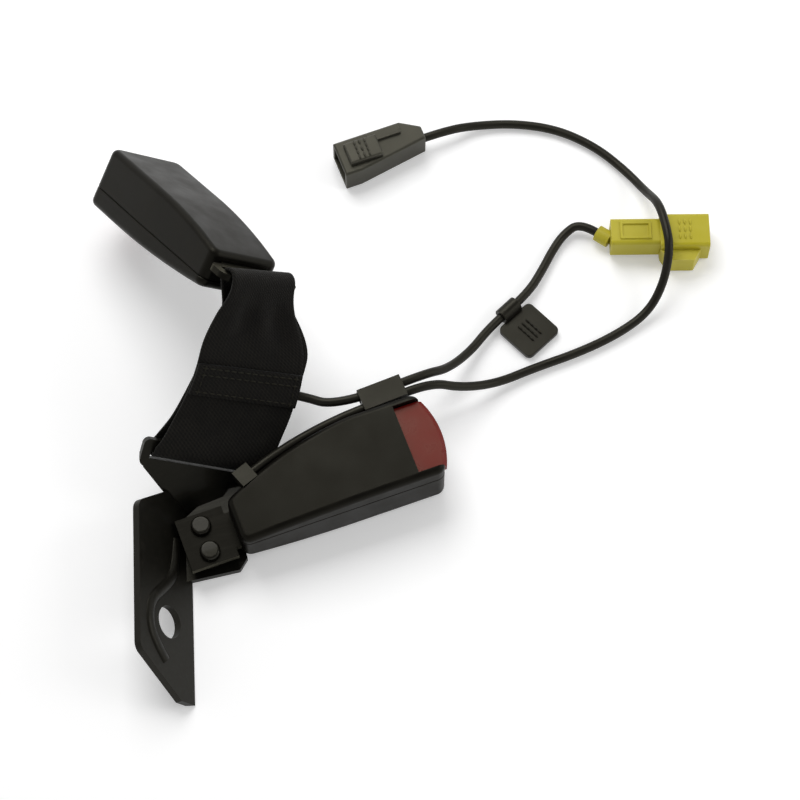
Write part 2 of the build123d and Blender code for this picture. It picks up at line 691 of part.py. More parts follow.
def make_stalk_rivets():
    """Two round-headed rivets through the stalk, the spacers and the flange."""
    top = STALK_BUCKLE.Z
    with BuildPart() as rivets:
        for side in (-1, 1):
            with Locations((0, side * RIVET_PITCH / 2, 0)):
                Cylinder(RIVET_RADIUS, top, align=(Align.CENTER, Align.CENTER, Align.MIN))
            with Locations((0, side * RIVET_PITCH / 2, top)):
                Cylinder(RIVET_HEAD_RADIUS, RIVET_HEAD, align=(Align.CENTER, Align.CENTER, Align.MIN))
        fillet(rivets.faces().group_by(Axis.Z)[-1].edges(), RIVET_HEAD / 2)
    return rivets


def make_stalk_spacers():
    """Two spacers that hold the stalk above the flange."""
    height = STALK_BUCKLE.Z - FRAME_SHEET - BRACKET_SHEET
    with BuildPart() as spacers:
        for side in (-1, 1):
            with Locations((0, side * RIVET_PITCH / 2, BRACKET_SHEET)):
                Cylinder(SPACER_RADIUS, height, align=(Align.CENTER, Align.CENTER, Align.MIN))
                Cylinder(
                    RIVET_RADIUS + PIN_GAP,
                    height,
                    align=(Align.CENTER, Align.CENTER, Align.MIN),
                    mode=Mode.SUBTRACT,
                )
    return spacers


def strap_section(share):
    """Frame across the strap at this share of its length, turned with its twist."""
    across = foot_across * (1 - share) + upper_across * share
    across = (across - strap_run * across.dot(strap_run)).normalized()
    return Plane(origin=STRAP_FOOT + strap_run * strap_length * share, x_dir=across, z_dir=strap_run)


def make_strap():
    """Stitched double webbing between the bracket's ear and the upper buckle's tail."""
    neck = STRAP_NECK / strap_length
    end = loop_inner / strap_length
    shares = (end, neck, 1 / 3, 2 / 3, 1 - neck, 1 - end)
    deep = 2 * loop_outer
    depths = (deep, STRAP_THICK, STRAP_THICK, STRAP_THICK, STRAP_THICK, deep)
    half_gathered = (WEBBING_WIDTH + WEBBING_GATHER) / 2
    widths = (WEBBING_WIDTH, WEBBING_WIDTH, WEBBING_WIDTH, WEBBING_WIDTH, half_gathered, WEBBING_GATHER)
    top_plane = Plane(origin=STRAP_TOP, x_dir=upper_axis, z_dir=upper_across)
    low_plane = Plane(origin=STRAP_FOOT, x_dir=strap_run, z_dir=foot_across)
    with BuildPart() as strap:
        for share, depth, width in zip(shares, depths, widths):
            with BuildSketch(strap_section(share)):
                Rectangle(width, depth)
        loft(ruled=True)
        for plane, width in ((low_plane, WEBBING_WIDTH), (top_plane, WEBBING_GATHER)):
            with BuildSketch(plane):
                Circle(loop_outer)
            extrude(amount=width / 2, both=True)
        for plane in (low_plane, top_plane):
            with BuildSketch(plane):
                Circle(loop_inner)
            extrude(amount=WEBBING_WIDTH, both=True, mode=Mode.SUBTRACT)
    return strap


def make_edge_clip():
    """Clip on the stalk buckle's curved side that holds both leads."""
    outer = lead_offset + LEAD_SPACING + lead_radius + EDGE_CLIP_WALL
    with BuildPart() as clip:
        with BuildSketch(clip_side):
            with Locations((SEAT_GAP, LOWER_LEAD_Z)):
                Rectangle(
                    outer - SEAT_GAP,
                    LEAD_DIAMETER + 2 * EDGE_CLIP_WALL,
                    align=(Align.MIN, Align.CENTER),
                )
            with Locations((lead_offset, LOWER_LEAD_Z), (lead_offset + LEAD_SPACING, LOWER_LEAD_Z)):
                Circle(lead_radius + PIN_GAP, mode=Mode.SUBTRACT)
        extrude(amount=EDGE_CLIP_LENGTH)
    return clip


def make_lead_grommet():
    """Rubber outlet of the lead on the stalk buckle's curved side."""
    with BuildPart() as grommet:
        with BuildSketch(outlet_plane):
            with Locations((0, LOWER_LEAD_Z)):
                Rectangle(2 * LEAD_DIAMETER, LEAD_DIAMETER + 2 * EDGE_CLIP_WALL)
        extrude(amount=-LEAD_OUTLET)
        add(rounded_form(True), mode=Mode.SUBTRACT)
    return grommet


def make_lower_lead():
    """Lead held along the curved side of the stalk buckle, from its outlet to the clip."""
    start = outlet_plane.origin
    end = clip_side.origin + clip_side.x_dir * lead_offset
    middle_side = side_frame((LEAD_OUTLET_X + EDGE_CLIP_X) / 2)
    middle = middle_side.origin + middle_side.x_dir * lead_offset
    rise = Vector(0, 0, LOWER_LEAD_Z)
    with BuildPart() as lead:
        with BuildLine() as path:
            ThreePointArc(start + rise, middle + rise, end + rise)
            Line(end + rise, end + rise + clip_side.z_dir * EDGE_CLIP_LENGTH)
        with BuildSketch(Plane(origin=start + rise, z_dir=path.line % 0)):
            Circle(lead_radius)
        sweep(path=path.line)
    return lead


def lead_radii(points):
    """Bend radius at each inner point of a lead's route: the largest that its runs allow."""
    radii = []
    for before, here, after in zip(points, points[1:], points[2:]):
        turn = radians((here - before).get_angle(after - here))
        run = min((here - before).length, (after - here).length)
        radii.append(0.45 * run / tan(turn / 2))
    return radii


def make_lead(name, points):
    """Round lead along a route of straight runs joined by tangent arcs."""
    radii = lead_radii(points)
    with BuildPart() as lead:
        with BuildLine() as path:
            FilletPolyline(*points, radius=radii)
        with BuildSketch(Plane(origin=points[0], z_dir=path.line % 0)):
            Circle(lead_radius)
        sweep(path=path.line)
    length = sum(edge.length for edge in path.edges())
    print(name, "length", round(length, 1), "smallest radius", round(min(radii), 1))
    return lead


def clip_exit(index, along):
    """Middle of a bore of the edge clip, in the part's frame, this far from its rear face."""
    place = clip_side.origin + clip_side.x_dir * (lead_offset + index * LEAD_SPACING)
    place = place + clip_side.z_dir * along + Vector(0, 0, LOWER_LEAD_Z)
    return lower_seat.from_local_coords(place)


# Routes of the leads in the part's frame, laid out by hand
FLOOR_Z = lead_radius + SEAT_GAP
CLIP_LEAD_Z = lead_radius + CLIP_BAND + PIN_GAP
BRIDGE_SHARE = 0.4
BRIDGE_STUB = 8.0
HARNESS_CLIP = Vector(143.0, 64.4, CLIP_LEAD_Z)
HARNESS_HEADING = 28.3
HARNESS_RUN = 22.6
EXIT_RUN = 11.0
GREY_WIRE_END = Vector(131.9, 149.0, GREY_HEIGHT / 2)
GREY_HEADING = 184.6
YELLOW_WIRE_END = Vector(192.0, 83.0, YELLOW_HEIGHT / 2)
YELLOW_HEADING = -15.6
YELLOW_BOOT_HEADING = 130.0
YELLOW_BOOT = 6.0
YELLOW_BOOT_DROP = 2.5
FOLD_RUN = 8.5

clip_front = EDGE_CLIP_LENGTH
bridge_section = strap_section(BRIDGE_SHARE)
bridge_start = bridge_section.origin + bridge_section.x_dir * (WEBBING_WIDTH / 2 + SLIDE_GAP)
boot_heading = Vector(cos(radians(YELLOW_BOOT_HEADING)), sin(radians(YELLOW_BOOT_HEADING)), 0)
boot_end = YELLOW_WIRE_END + boot_heading * YELLOW_BOOT - Vector(0, 0, YELLOW_BOOT_DROP)
clip_heading = Vector(cos(radians(HARNESS_HEADING)), sin(radians(HARNESS_HEADING)), 0)
grey_heading = Vector(cos(radians(GREY_HEADING)), sin(radians(GREY_HEADING)), 0)

bridge_route = [
    bridge_start,
    bridge_start + bridge_section.x_dir * BRIDGE_STUB,
    clip_exit(1, -EDGE_CLIP_LENGTH / 2),
    clip_exit(1, clip_front),
]
grey_route = [
    clip_exit(0, clip_front),
    clip_exit(0, clip_front + EXIT_RUN),
    Vector(113.0, 33.6, 11.4),
    Vector(128.5, 34.6, 3.4),
    Vector(146.0, 37.6, FLOOR_Z),
    Vector(164.0, 39.0, FLOOR_Z),
    Vector(181.5, 42.2, FLOOR_Z),
    Vector(196.5, 47.5, 3.0),
    Vector(205.5, 55.5, 9.0),
    Vector(210.6, 65.0, 15.6),
    Vector(212.6, 76.0, 17.2),
    Vector(213.4, 87.5, 14.0),
    Vector(212.8, 99.5, 5.6),
    Vector(209.0, 112.5, FLOOR_Z),
    Vector(200.5, 127.0, FLOOR_Z),
    Vector(187.5, 139.6, FLOOR_Z),
    Vector(171.0, 147.4, FLOOR_Z),
    Vector(154.5, 150.8, 2.4),
    GREY_WIRE_END - grey_heading * EXIT_RUN,
    GREY_WIRE_END,
]
yellow_route = [
    clip_exit(1, clip_front),
    clip_exit(1, clip_front + EXIT_RUN),
    Vector(110.5, 43.0, 11.0),
    Vector(122.5, 50.6, 4.4),
    HARNESS_CLIP - clip_heading * HARNESS_RUN / 2,
    HARNESS_CLIP + clip_heading * HARNESS_RUN / 2,
    Vector(161.5, 78.2, 2.4),
    Vector(168.5, 86.0, FLOOR_Z),
    Vector(175.0, 91.6, 2.2),
    boot_end + boot_heading * FOLD_RUN,
    boot_end,
]


def make_grey_body():
    """Socket body of the grey connector, drawn along X from its narrow wire end to the mouth."""
    side = GREY_WIDTH / 2
    with BuildPart() as body:
        with BuildSketch(Plane.XY.offset(-GREY_HEIGHT / 2)):
            with BuildLine():
                Polyline(
                    (0, GREY_WIRE_SIDE),
                    (GREY_TAPER, side),
                    (GREY_LENGTH, side),
                    (GREY_LENGTH, -side),
                    (CONNECTOR_NECK, -side),
                    (0, -GREY_WIRE_SIDE),
                    close=True,
                )
            make_face()
        extrude(amount=GREY_HEIGHT)
        chamfer(body.edges().group_by(Axis.Z)[-1], CONNECTOR_WALL / 2)
        with BuildSketch(Plane.YZ.offset(GREY_LENGTH)):
            Rectangle(GREY_WIDTH - 2 * CONNECTOR_WALL, GREY_HEIGHT - 2 * CONNECTOR_WALL)
        extrude(amount=-SOCKET_DEPTH, mode=Mode.SUBTRACT)
    return body


def make_grey_lock():
    """Raised lock on top of the grey connector, with an arm back to the wire end."""
    back = GREY_LENGTH - 2 * SOCKET_DEPTH
    arm_y = CONNECTOR_WALL - GREY_WIDTH / 2
    with BuildPart() as lock:
        with BuildSketch(Plane.XY.offset(GREY_HEIGHT / 2)):
            with Locations((back + SOCKET_DEPTH * 3 / 4, 0)):
                Rectangle(SOCKET_DEPTH, -2 * arm_y - GREY_WIRE_SIDE, align=(Align.MIN, Align.CENTER))
        extrude(amount=GREY_LOCK_HEIGHT)
        chamfer(lock.edges().group_by(Axis.Z)[-1], CONNECTOR_WALL / 3)
        with BuildSketch(Plane.XY.offset(GREY_HEIGHT / 2)):
            with Locations((back, arm_y)):
                Rectangle(SOCKET_DEPTH, GREY_LOCK_ARM, align=(Align.MIN, Align.MIN))
        extrude(amount=GREY_LOCK_HEIGHT / 2)
    return lock


def make_yellow_body():
    """Yellow connector: plug half and latch half in one line, with the boot of the lead."""
    half_length = YELLOW_LENGTH / 2
    inner_width = YELLOW_WIDTH - 2 * CONNECTOR_WALL
    boot_turn = radians(YELLOW_BOOT_HEADING - YELLOW_HEADING)
    boot_plane = Plane(
        origin=(0, 0, -YELLOW_BOOT_DROP),
        x_dir=(0, 0, 1),
        z_dir=(cos(boot_turn), sin(boot_turn), 0),
    )
    with BuildPart() as body:
        with BuildSketch(Plane.YZ):
            RectangleRounded(inner_width, YELLOW_HEIGHT - CONNECTOR_WALL, CONNECTOR_WALL)
        extrude(amount=half_length)
        with BuildSketch(Plane.YZ.offset(half_length)):
            RectangleRounded(YELLOW_WIDTH, YELLOW_HEIGHT, CONNECTOR_WALL)
        extrude(amount=YELLOW_LENGTH - half_length)
        with BuildSketch(boot_plane):
            Circle(lead_radius + CONNECTOR_WALL)
        extrude(amount=YELLOW_BOOT)
        with BuildSketch(Plane.YZ.offset(YELLOW_LENGTH)):
            Rectangle(inner_width, YELLOW_HEIGHT - 2 * CONNECTOR_WALL)
        extrude(amount=-SOCKET_DEPTH, mode=Mode.SUBTRACT)
    return body


def make_yellow_lock():
    """Lock slide on the side of the yellow connector."""
    length = YELLOW_LENGTH / 2 - SOCKET_DEPTH / 4
    with BuildPart() as lock:
        with BuildSketch(Plane.XY.offset(-YELLOW_HEIGHT / 2)):
            with Locations((YELLOW_LENGTH / 2, -YELLOW_WIDTH / 2)):
                Trapezoid(
                    length,
                    YELLOW_WIDTH / 3,
                    60,
                    rotation=180,
                    align=(Align.MAX, Align.MIN),
                )
        extrude(amount=YELLOW_HEIGHT - 2 * CONNECTOR_WALL)
    return lock


def make_terminals(length, start):
    """Two round pins in a connector's socket."""
    with BuildPart() as terminals:
        with BuildSketch(Plane.YZ.offset(start)):
            with Locations((-TERMINAL_PITCH / 2, 0), (TERMINAL_PITCH / 2, 0)):
                Circle(TERMINAL_RADIUS)
        extrude(amount=length)
    return terminals


def make_harness_clip():
    """Flat clip on the yellow connector's lead: a ring round the lead and a square plate,
    drawn along X on the lead's middle line."""
    ring = lead_radius + PIN_GAP + CLIP_BAND
    with BuildPart() as clip:
        with BuildSketch(Plane.XY.offset(-ring)):
            with Locations((0, CLIP_BAND / 2 - ring)):
                RectangleRounded(CLIP_PLATE, CLIP_PLATE, CLIP_SHEET, align=(Align.CENTER, Align.MAX))
        extrude(amount=CLIP_SHEET)
        with BuildSketch(Plane.YZ):
            Circle(ring)
        extrude(amount=CLIP_PLATE / 4, both=True)
        with BuildSketch(Plane.YZ):
            Circle(lead_radius + PIN_GAP)
        extrude(amount=CLIP_PLATE, both=True, mode=Mode.SUBTRACT)
    return clip


os.makedirs("parts", exist_ok=True)
write_buckle("lower", True, lower_seat)
write_buckle("upper", False, upper_seat)
write_piece(make_bracket(), "anchor_bracket")
write_piece(make_stalk_rivets(), "stalk_rivets", stalk_turn)
write_piece(make_stalk_spacers(), "stalk_spacers", stalk_turn)
write_piece(make_strap(), "strap")
write_piece(make_edge_clip(), "edge_clip", lower_seat)
write_piece(make_lead_grommet(), "lead_grommet", lower_seat)
write_piece(make_lower_lead(), "lower_lead", lower_seat)
write_piece(make_lead("bridge_lead", bridge_route), "bridge_lead")
write_piece(make_lead("grey_cord", grey_route), "grey_cord")
write_piece(make_lead("yellow_cord", yellow_route), "yellow_cord")

grey_seat = Plane(origin=GREY_WIRE_END, x_dir=Vector(1, 0, 0).rotate(Axis.Z, GREY_HEADING), z_dir=(0, 0, 1))
write_piece(make_grey_body(), "grey_connector_body", grey_seat)
write_piece(make_grey_lock(), "grey_connector_lock", grey_seat)
grey_terminals = make_terminals(SOCKET_DEPTH - CONNECTOR_NECK / 2, GREY_LENGTH - SOCKET_DEPTH)
write_piece(grey_terminals, "grey_connector_terminals", grey_seat)

yellow_x = Vector(1, 0, 0).rotate(Axis.Z, YELLOW_HEADING)
yellow_seat = Plane(origin=YELLOW_WIRE_END, x_dir=yellow_x, z_dir=(0, 0, 1))
write_piece(make_yellow_body(), "yellow_connector_body", yellow_seat)
write_piece(make_yellow_lock(), "yellow_connector_lock", yellow_seat)
yellow_terminals = make_terminals(SOCKET_DEPTH - CONNECTOR_NECK / 2, YELLOW_LENGTH - SOCKET_DEPTH)
write_piece(yellow_terminals, "yellow_connector_terminals", yellow_seat)

clip_seat = Plane(origin=HARNESS_CLIP, x_dir=clip_heading, z_dir=(0, 0, 1))
write_piece(make_harness_clip(), "harness_clip", clip_seat)
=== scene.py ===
"""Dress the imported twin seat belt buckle: camera, light, finishes, cords and webbing."""

import json
import logging
from dataclasses import dataclass
from enum import Enum
from math import cos, pi, radians, sin
from typing import Any, Callable, Sequence

import bmesh
import bpy
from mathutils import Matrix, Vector

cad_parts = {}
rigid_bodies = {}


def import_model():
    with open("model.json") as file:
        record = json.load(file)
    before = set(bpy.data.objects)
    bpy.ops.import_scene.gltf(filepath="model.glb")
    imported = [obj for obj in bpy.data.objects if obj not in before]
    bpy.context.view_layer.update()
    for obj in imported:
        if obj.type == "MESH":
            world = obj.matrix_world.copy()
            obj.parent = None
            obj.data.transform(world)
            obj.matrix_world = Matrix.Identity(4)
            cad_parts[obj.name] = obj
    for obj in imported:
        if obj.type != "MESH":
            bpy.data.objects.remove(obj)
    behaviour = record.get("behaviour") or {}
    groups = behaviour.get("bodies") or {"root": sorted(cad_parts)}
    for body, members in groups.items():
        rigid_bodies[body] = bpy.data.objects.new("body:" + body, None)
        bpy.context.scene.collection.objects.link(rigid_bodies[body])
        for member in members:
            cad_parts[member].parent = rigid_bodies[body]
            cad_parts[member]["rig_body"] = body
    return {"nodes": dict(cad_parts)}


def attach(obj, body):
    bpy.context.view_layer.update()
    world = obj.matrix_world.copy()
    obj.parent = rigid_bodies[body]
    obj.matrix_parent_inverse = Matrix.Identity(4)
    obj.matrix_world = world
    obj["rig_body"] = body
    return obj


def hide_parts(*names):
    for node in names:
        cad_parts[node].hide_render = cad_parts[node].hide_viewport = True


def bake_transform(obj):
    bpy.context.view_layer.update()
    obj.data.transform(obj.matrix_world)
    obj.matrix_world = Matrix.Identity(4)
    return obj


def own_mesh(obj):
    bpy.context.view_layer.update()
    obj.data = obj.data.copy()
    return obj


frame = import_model()

LOG = logging.getLogger("seat_belt_buckle")
MM = 0.001
SHARP_ANGLE = radians(32)
FLAT_ANGLE = radians(0.4)
MERGE_DISTANCE = 2e-6
HANDLING_MM = 11.0
SCUFF_MM = 1.6
NOISE_LOW = 0.3
NOISE_HIGH = 0.7
TUBE_ROUNDNESS = 5
TUBE_STEPS = 10
BAR_SEGMENTS = 8
BAR_RINGS = 6
RIM_DRAFT_MM = 0.25
# Painted warm tint on the reflections of the plastics and metals, standing in for warm lamp light; the
# lamps themselves are white.
WARM_GLINT = "#fffae2"

Point = tuple[float, float, float]
Draw = Callable[[bpy.types.NodeTree, bpy.types.Node], None]
Place = tuple[Vector, Vector, Vector, float]


def linear(hex_colour: str) -> tuple[float, float, float, float]:
    """Turn an sRGB hex colour into linear light.

    Args:
        hex_colour: Six hex digits after a hash.

    Returns:
        Linear red, green, blue and full alpha.
    """
    parts = [int(hex_colour[i:i + 2], 16) / 255 for i in (1, 3, 5)]
    red, green, blue = (p / 12.92 if p <= 0.04045 else ((p + 0.055) / 1.055) ** 2.4 for p in parts)
    return red, green, blue, 1.0


def per_mm(size_mm: float) -> float:
    """Return the noise scale whose features are this many millimetres across."""
    return 1 / (size_mm * MM)


def wave_scale(pitch_mm: float) -> float:
    """Return the wave texture scale whose bands repeat at this pitch in millimetres."""
    return 2 * pi / (20 * pitch_mm * MM)


def at(place: Point) -> Vector:
    """Return a place given in millimetres as a vector in metres."""
    return Vector(place) * MM


def eased(share: float) -> float:
    """Return a share held between 0 and 1, with a soft start and a soft end."""
    held = min(1.0, max(0.0, share))
    return held * held * (3 - 2 * held)


def add_node(tree: bpy.types.NodeTree, kind: str, settings: dict[str, Any] | None = None,
             inputs: dict[Any, Any] | None = None) -> bpy.types.Node:
    """Add one node with its settings, its values and its links.

    Args:
        tree: The tree that gets the node.
        kind: Blender's name for the node.
        settings: Properties of the node itself.
        inputs: Values, or sockets to link from, by input name or number.

    Returns:
        The new node.
    """
    node = tree.nodes.new(kind)
    for key, value in (settings or {}).items():
        setattr(node, key, value)
    for key, value in (inputs or {}).items():
        if isinstance(value, bpy.types.NodeSocket):
            tree.links.new(value, node.inputs[key])
        else:
            node.inputs[key].default_value = value
    return node


def made_once(name: str, draw: Draw) -> bpy.types.Material:
    """Return the named material, drawn by its finish the first time.

    Args:
        name: The material's name.
        draw: What fills its node tree.

    Returns:
        The material.
    """
    known = bpy.data.materials.get(name)
    if known:
        return known
    material = bpy.data.materials.new(name)
    material.use_nodes = True
    tree = material.node_tree
    draw(tree, tree.nodes["Principled BSDF"])
    return material


@dataclass(frozen=True)
class Moulding:
    """A moulded plastic: its colour, its gloss and the grain that the mould leaves."""

    name: str
    colour: str
    worn: str
    roughness: float
    grain_mm: float
    grain_depth_mm: float
    ior: float = 1.5
    specular: float = 0.5
    gloss_swing: float = 0.07
    dust_from: float = 0.35
    dust_to: float = 0.8
    dust_share: float = 0.3

    def material(self) -> bpy.types.Material:
        """Return the plastic's material."""
        return made_once(self.name, self.draw)

    def draw(self, tree: bpy.types.NodeTree, shader: bpy.types.Node) -> None:
        """Fill the tree: grain in the bump, handling in the gloss, rubbed edges in the colour.

        Args:
            tree: The material's tree.
            shader: Its shader.
        """
        place = add_node(tree, "ShaderNodeTexCoord").outputs["Object"]
        grain = add_node(tree, "ShaderNodeTexNoise", {},
                         {"Vector": place, "Scale": per_mm(self.grain_mm), "Detail": 2.0})
        handling = add_node(tree, "ShaderNodeTexNoise", {},
                            {"Vector": place, "Scale": per_mm(HANDLING_MM), "Detail": 4.0})
        edge = add_node(tree, "ShaderNodeAttribute", {"attribute_name": "edge_wear"})
        rubbed = add_node(tree, "ShaderNodeMath", {"operation": "MULTIPLY"},
                          {0: edge.outputs["Fac"], 1: handling.outputs["Fac"]})
        dust = add_node(tree, "ShaderNodeMapRange", {},
                        {"Value": handling.outputs["Fac"], "From Min": self.dust_from,
                         "From Max": self.dust_to, "To Max": self.dust_share})
        shade = add_node(tree, "ShaderNodeMath", {"operation": "MAXIMUM"},
                         {0: rubbed.outputs[0], 1: dust.outputs["Result"]})
        tint = add_node(tree, "ShaderNodeMix", {"data_type": "RGBA"},
                        {0: shade.outputs[0], 6: linear(self.colour), 7: linear(self.worn)})
        gloss = add_node(tree, "ShaderNodeMapRange", {},
                         {"Value": handling.outputs["Fac"],
                          "From Min": NOISE_LOW, "From Max": NOISE_HIGH,
                          "To Min": self.roughness - self.gloss_swing,
                          "To Max": self.roughness + self.gloss_swing})
        bump = add_node(tree, "ShaderNodeBump", {},
                        {"Height": grain.outputs["Fac"], "Distance": self.grain_depth_mm * MM,
                         "Strength": 1.0})
        tree.links.new(tint.outputs[2], shader.inputs["Base Color"])
        tree.links.new(gloss.outputs["Result"], shader.inputs["Roughness"])
        tree.links.new(bump.outputs["Normal"], shader.inputs["Normal"])
        shader.inputs["IOR"].default_value = self.ior
        shader.inputs["Specular IOR Level"].default_value = self.specular
        # Painted warm reflection: this tint stands in for warm lamp light.
        shader.inputs["Specular Tint"].default_value = linear(WARM_GLINT)


@dataclass(frozen=True)
class Steel:
    """A steel or brass part: bare and tumbled, or under a dipped coat."""

    name: str
    colour: str
    scuffed: str
    roughness: float
    metallic: float
    texture_mm: float
    depth_mm: float
    coat: float = 0.0
    specular: float = 0.5
    gloss_drop: float = 0.08
    gloss_rise: float = 0.1
    streak_from: float = 0.55
    streak_to: float = 0.8
    streak_share: float = 0.45
    scuff_turn: Point = (0.4, 0.2, 1.2)
    scuff_stretch: Point = (0.12, 1.0, 1.0)

    def material(self) -> bpy.types.Material:
        """Return the metal's material."""
        return made_once(self.name, self.draw)

    def draw(self, tree: bpy.types.NodeTree, shader: bpy.types.Node) -> None:
        """Fill the tree: orange peel in the bump, scuffs in the gloss, worn edges in the colour.

        Args:
            tree: The material's tree.
            shader: Its shader.
        """
        place = add_node(tree, "ShaderNodeTexCoord").outputs["Object"]
        peel = add_node(tree, "ShaderNodeTexNoise", {},
                        {"Vector": place, "Scale": per_mm(self.texture_mm), "Detail": 1.5})
        along = add_node(tree, "ShaderNodeMapping", {},
                         {"Vector": place, "Rotation": self.scuff_turn, "Scale": self.scuff_stretch})
        scuff = add_node(tree, "ShaderNodeTexNoise", {},
                         {"Vector": along.outputs["Vector"], "Scale": per_mm(SCUFF_MM),
                          "Detail": 5.0, "Roughness": 0.7})
        edge = add_node(tree, "ShaderNodeAttribute", {"attribute_name": "edge_wear"})
        worn = add_node(tree, "ShaderNodeMath", {"operation": "MULTIPLY"},
                        {0: edge.outputs["Fac"], 1: scuff.outputs["Fac"]})
        streak = add_node(tree, "ShaderNodeMapRange", {},
                          {"Value": scuff.outputs["Fac"], "From Min": self.streak_from,
                           "From Max": self.streak_to, "To Max": self.streak_share})
        shade = add_node(tree, "ShaderNodeMath", {"operation": "MAXIMUM"},
                         {0: worn.outputs[0], 1: streak.outputs["Result"]})
        tint = add_node(tree, "ShaderNodeMix", {"data_type": "RGBA"},
                        {0: shade.outputs[0], 6: linear(self.colour), 7: linear(self.scuffed)})
        gloss = add_node(tree, "ShaderNodeMapRange", {},
                         {"Value": scuff.outputs["Fac"],
                          "From Min": NOISE_LOW, "From Max": NOISE_HIGH,
                          "To Min": self.roughness - self.gloss_drop,
                          "To Max": self.roughness + self.gloss_rise})
        bump = add_node(tree, "ShaderNodeBump", {},
                        {"Height": peel.outputs["Fac"], "Distance": self.depth_mm * MM,
                         "Strength": 1.0})
        tree.links.new(tint.outputs[2], shader.inputs["Base Color"])
        tree.links.new(gloss.outputs["Result"], shader.inputs["Roughness"])
        tree.links.new(bump.outputs["Normal"], shader.inputs["Normal"])
        shader.inputs["Metallic"].default_value = self.metallic
        shader.inputs["Coat Weight"].default_value = self.coat
        shader.inputs["Specular IOR Level"].default_value = self.specular
        # Painted warm reflection: this tint stands in for warm lamp light.
        shader.inputs["Specular Tint"].default_value = linear(WARM_GLINT)


@dataclass(frozen=True)
class Weave:
    """Woven polyester webbing: lengthwise ribs crossed by fine picks, with a soft sheen and a painted
    highlight on the raised weave.
    """

    name: str
    colour: str
    # Painted highlight colour, given to the raised ribs and picks.
    raised: str
    rib_mm: float
    pick_mm: float
    depth_mm: float
    roughness: float = 0.8
    specular: float = 0.15
    sheen: float = 0.04
    sheen_roughness: float = 0.5
    slant_degrees: float = 35.0
    rib_share: float = 0.6
    fluff_mm: float = 7.0
    bump_strength: float = 0.8

    def material(self) -> bpy.types.Material:
        """Return the webbing's material."""
        return made_once(self.name, self.draw)

    def draw(self, tree: bpy.types.NodeTree, shader: bpy.types.Node) -> None:
        """Fill the tree from the piece's own UV map, in metres across and along the webbing.

        Args:
            tree: The material's tree.
            shader: Its shader.
        """
        flat = add_node(tree, "ShaderNodeTexCoord").outputs["UV"]
        ribs = add_node(tree, "ShaderNodeTexWave", {"bands_direction": "X"},
                        {"Vector": flat, "Scale": wave_scale(self.rib_mm),
                         "Distortion": 0.6, "Detail": 1.0})
        slant = add_node(tree, "ShaderNodeMapping", {},
                         {"Vector": flat, "Rotation": (0, 0, radians(self.slant_degrees))})
        picks = add_node(tree, "ShaderNodeTexWave", {"bands_direction": "Y"},
                         {"Vector": slant.outputs["Vector"], "Scale": wave_scale(self.pick_mm),
                          "Distortion": 0.4})
        height = add_node(tree, "ShaderNodeMath", {"operation": "MULTIPLY_ADD"},
                          {0: ribs.outputs["Fac"], 1: self.rib_share, 2: picks.outputs["Fac"]})
        fluff = add_node(tree, "ShaderNodeTexNoise", {},
                         {"Vector": flat, "Scale": per_mm(self.fluff_mm), "Detail": 5.0})
        # Painted light: the raised ribs and picks take the lighter colour and the hollows between them
        # the darker one, in patches set by the fluff noise.
        lift = add_node(tree, "ShaderNodeMath", {"operation": "MULTIPLY"},
                        {0: height.outputs[0], 1: fluff.outputs["Fac"]})
        tint = add_node(tree, "ShaderNodeMix", {"data_type": "RGBA"},
                        {0: lift.outputs[0], 6: linear(self.colour), 7: linear(self.raised)})
        bump = add_node(tree, "ShaderNodeBump", {},
                        {"Height": height.outputs[0], "Distance": self.depth_mm * MM,
                         "Strength": self.bump_strength})
        tree.links.new(tint.outputs[2], shader.inputs["Base Color"])
        tree.links.new(bump.outputs["Normal"], shader.inputs["Normal"])
        shader.inputs["Roughness"].default_value = self.roughness
        shader.inputs["Specular IOR Level"].default_value = self.specular
        shader.inputs["Sheen Weight"].default_value = self.sheen
        shader.inputs["Sheen Roughness"].default_value = self.sheen_roughness


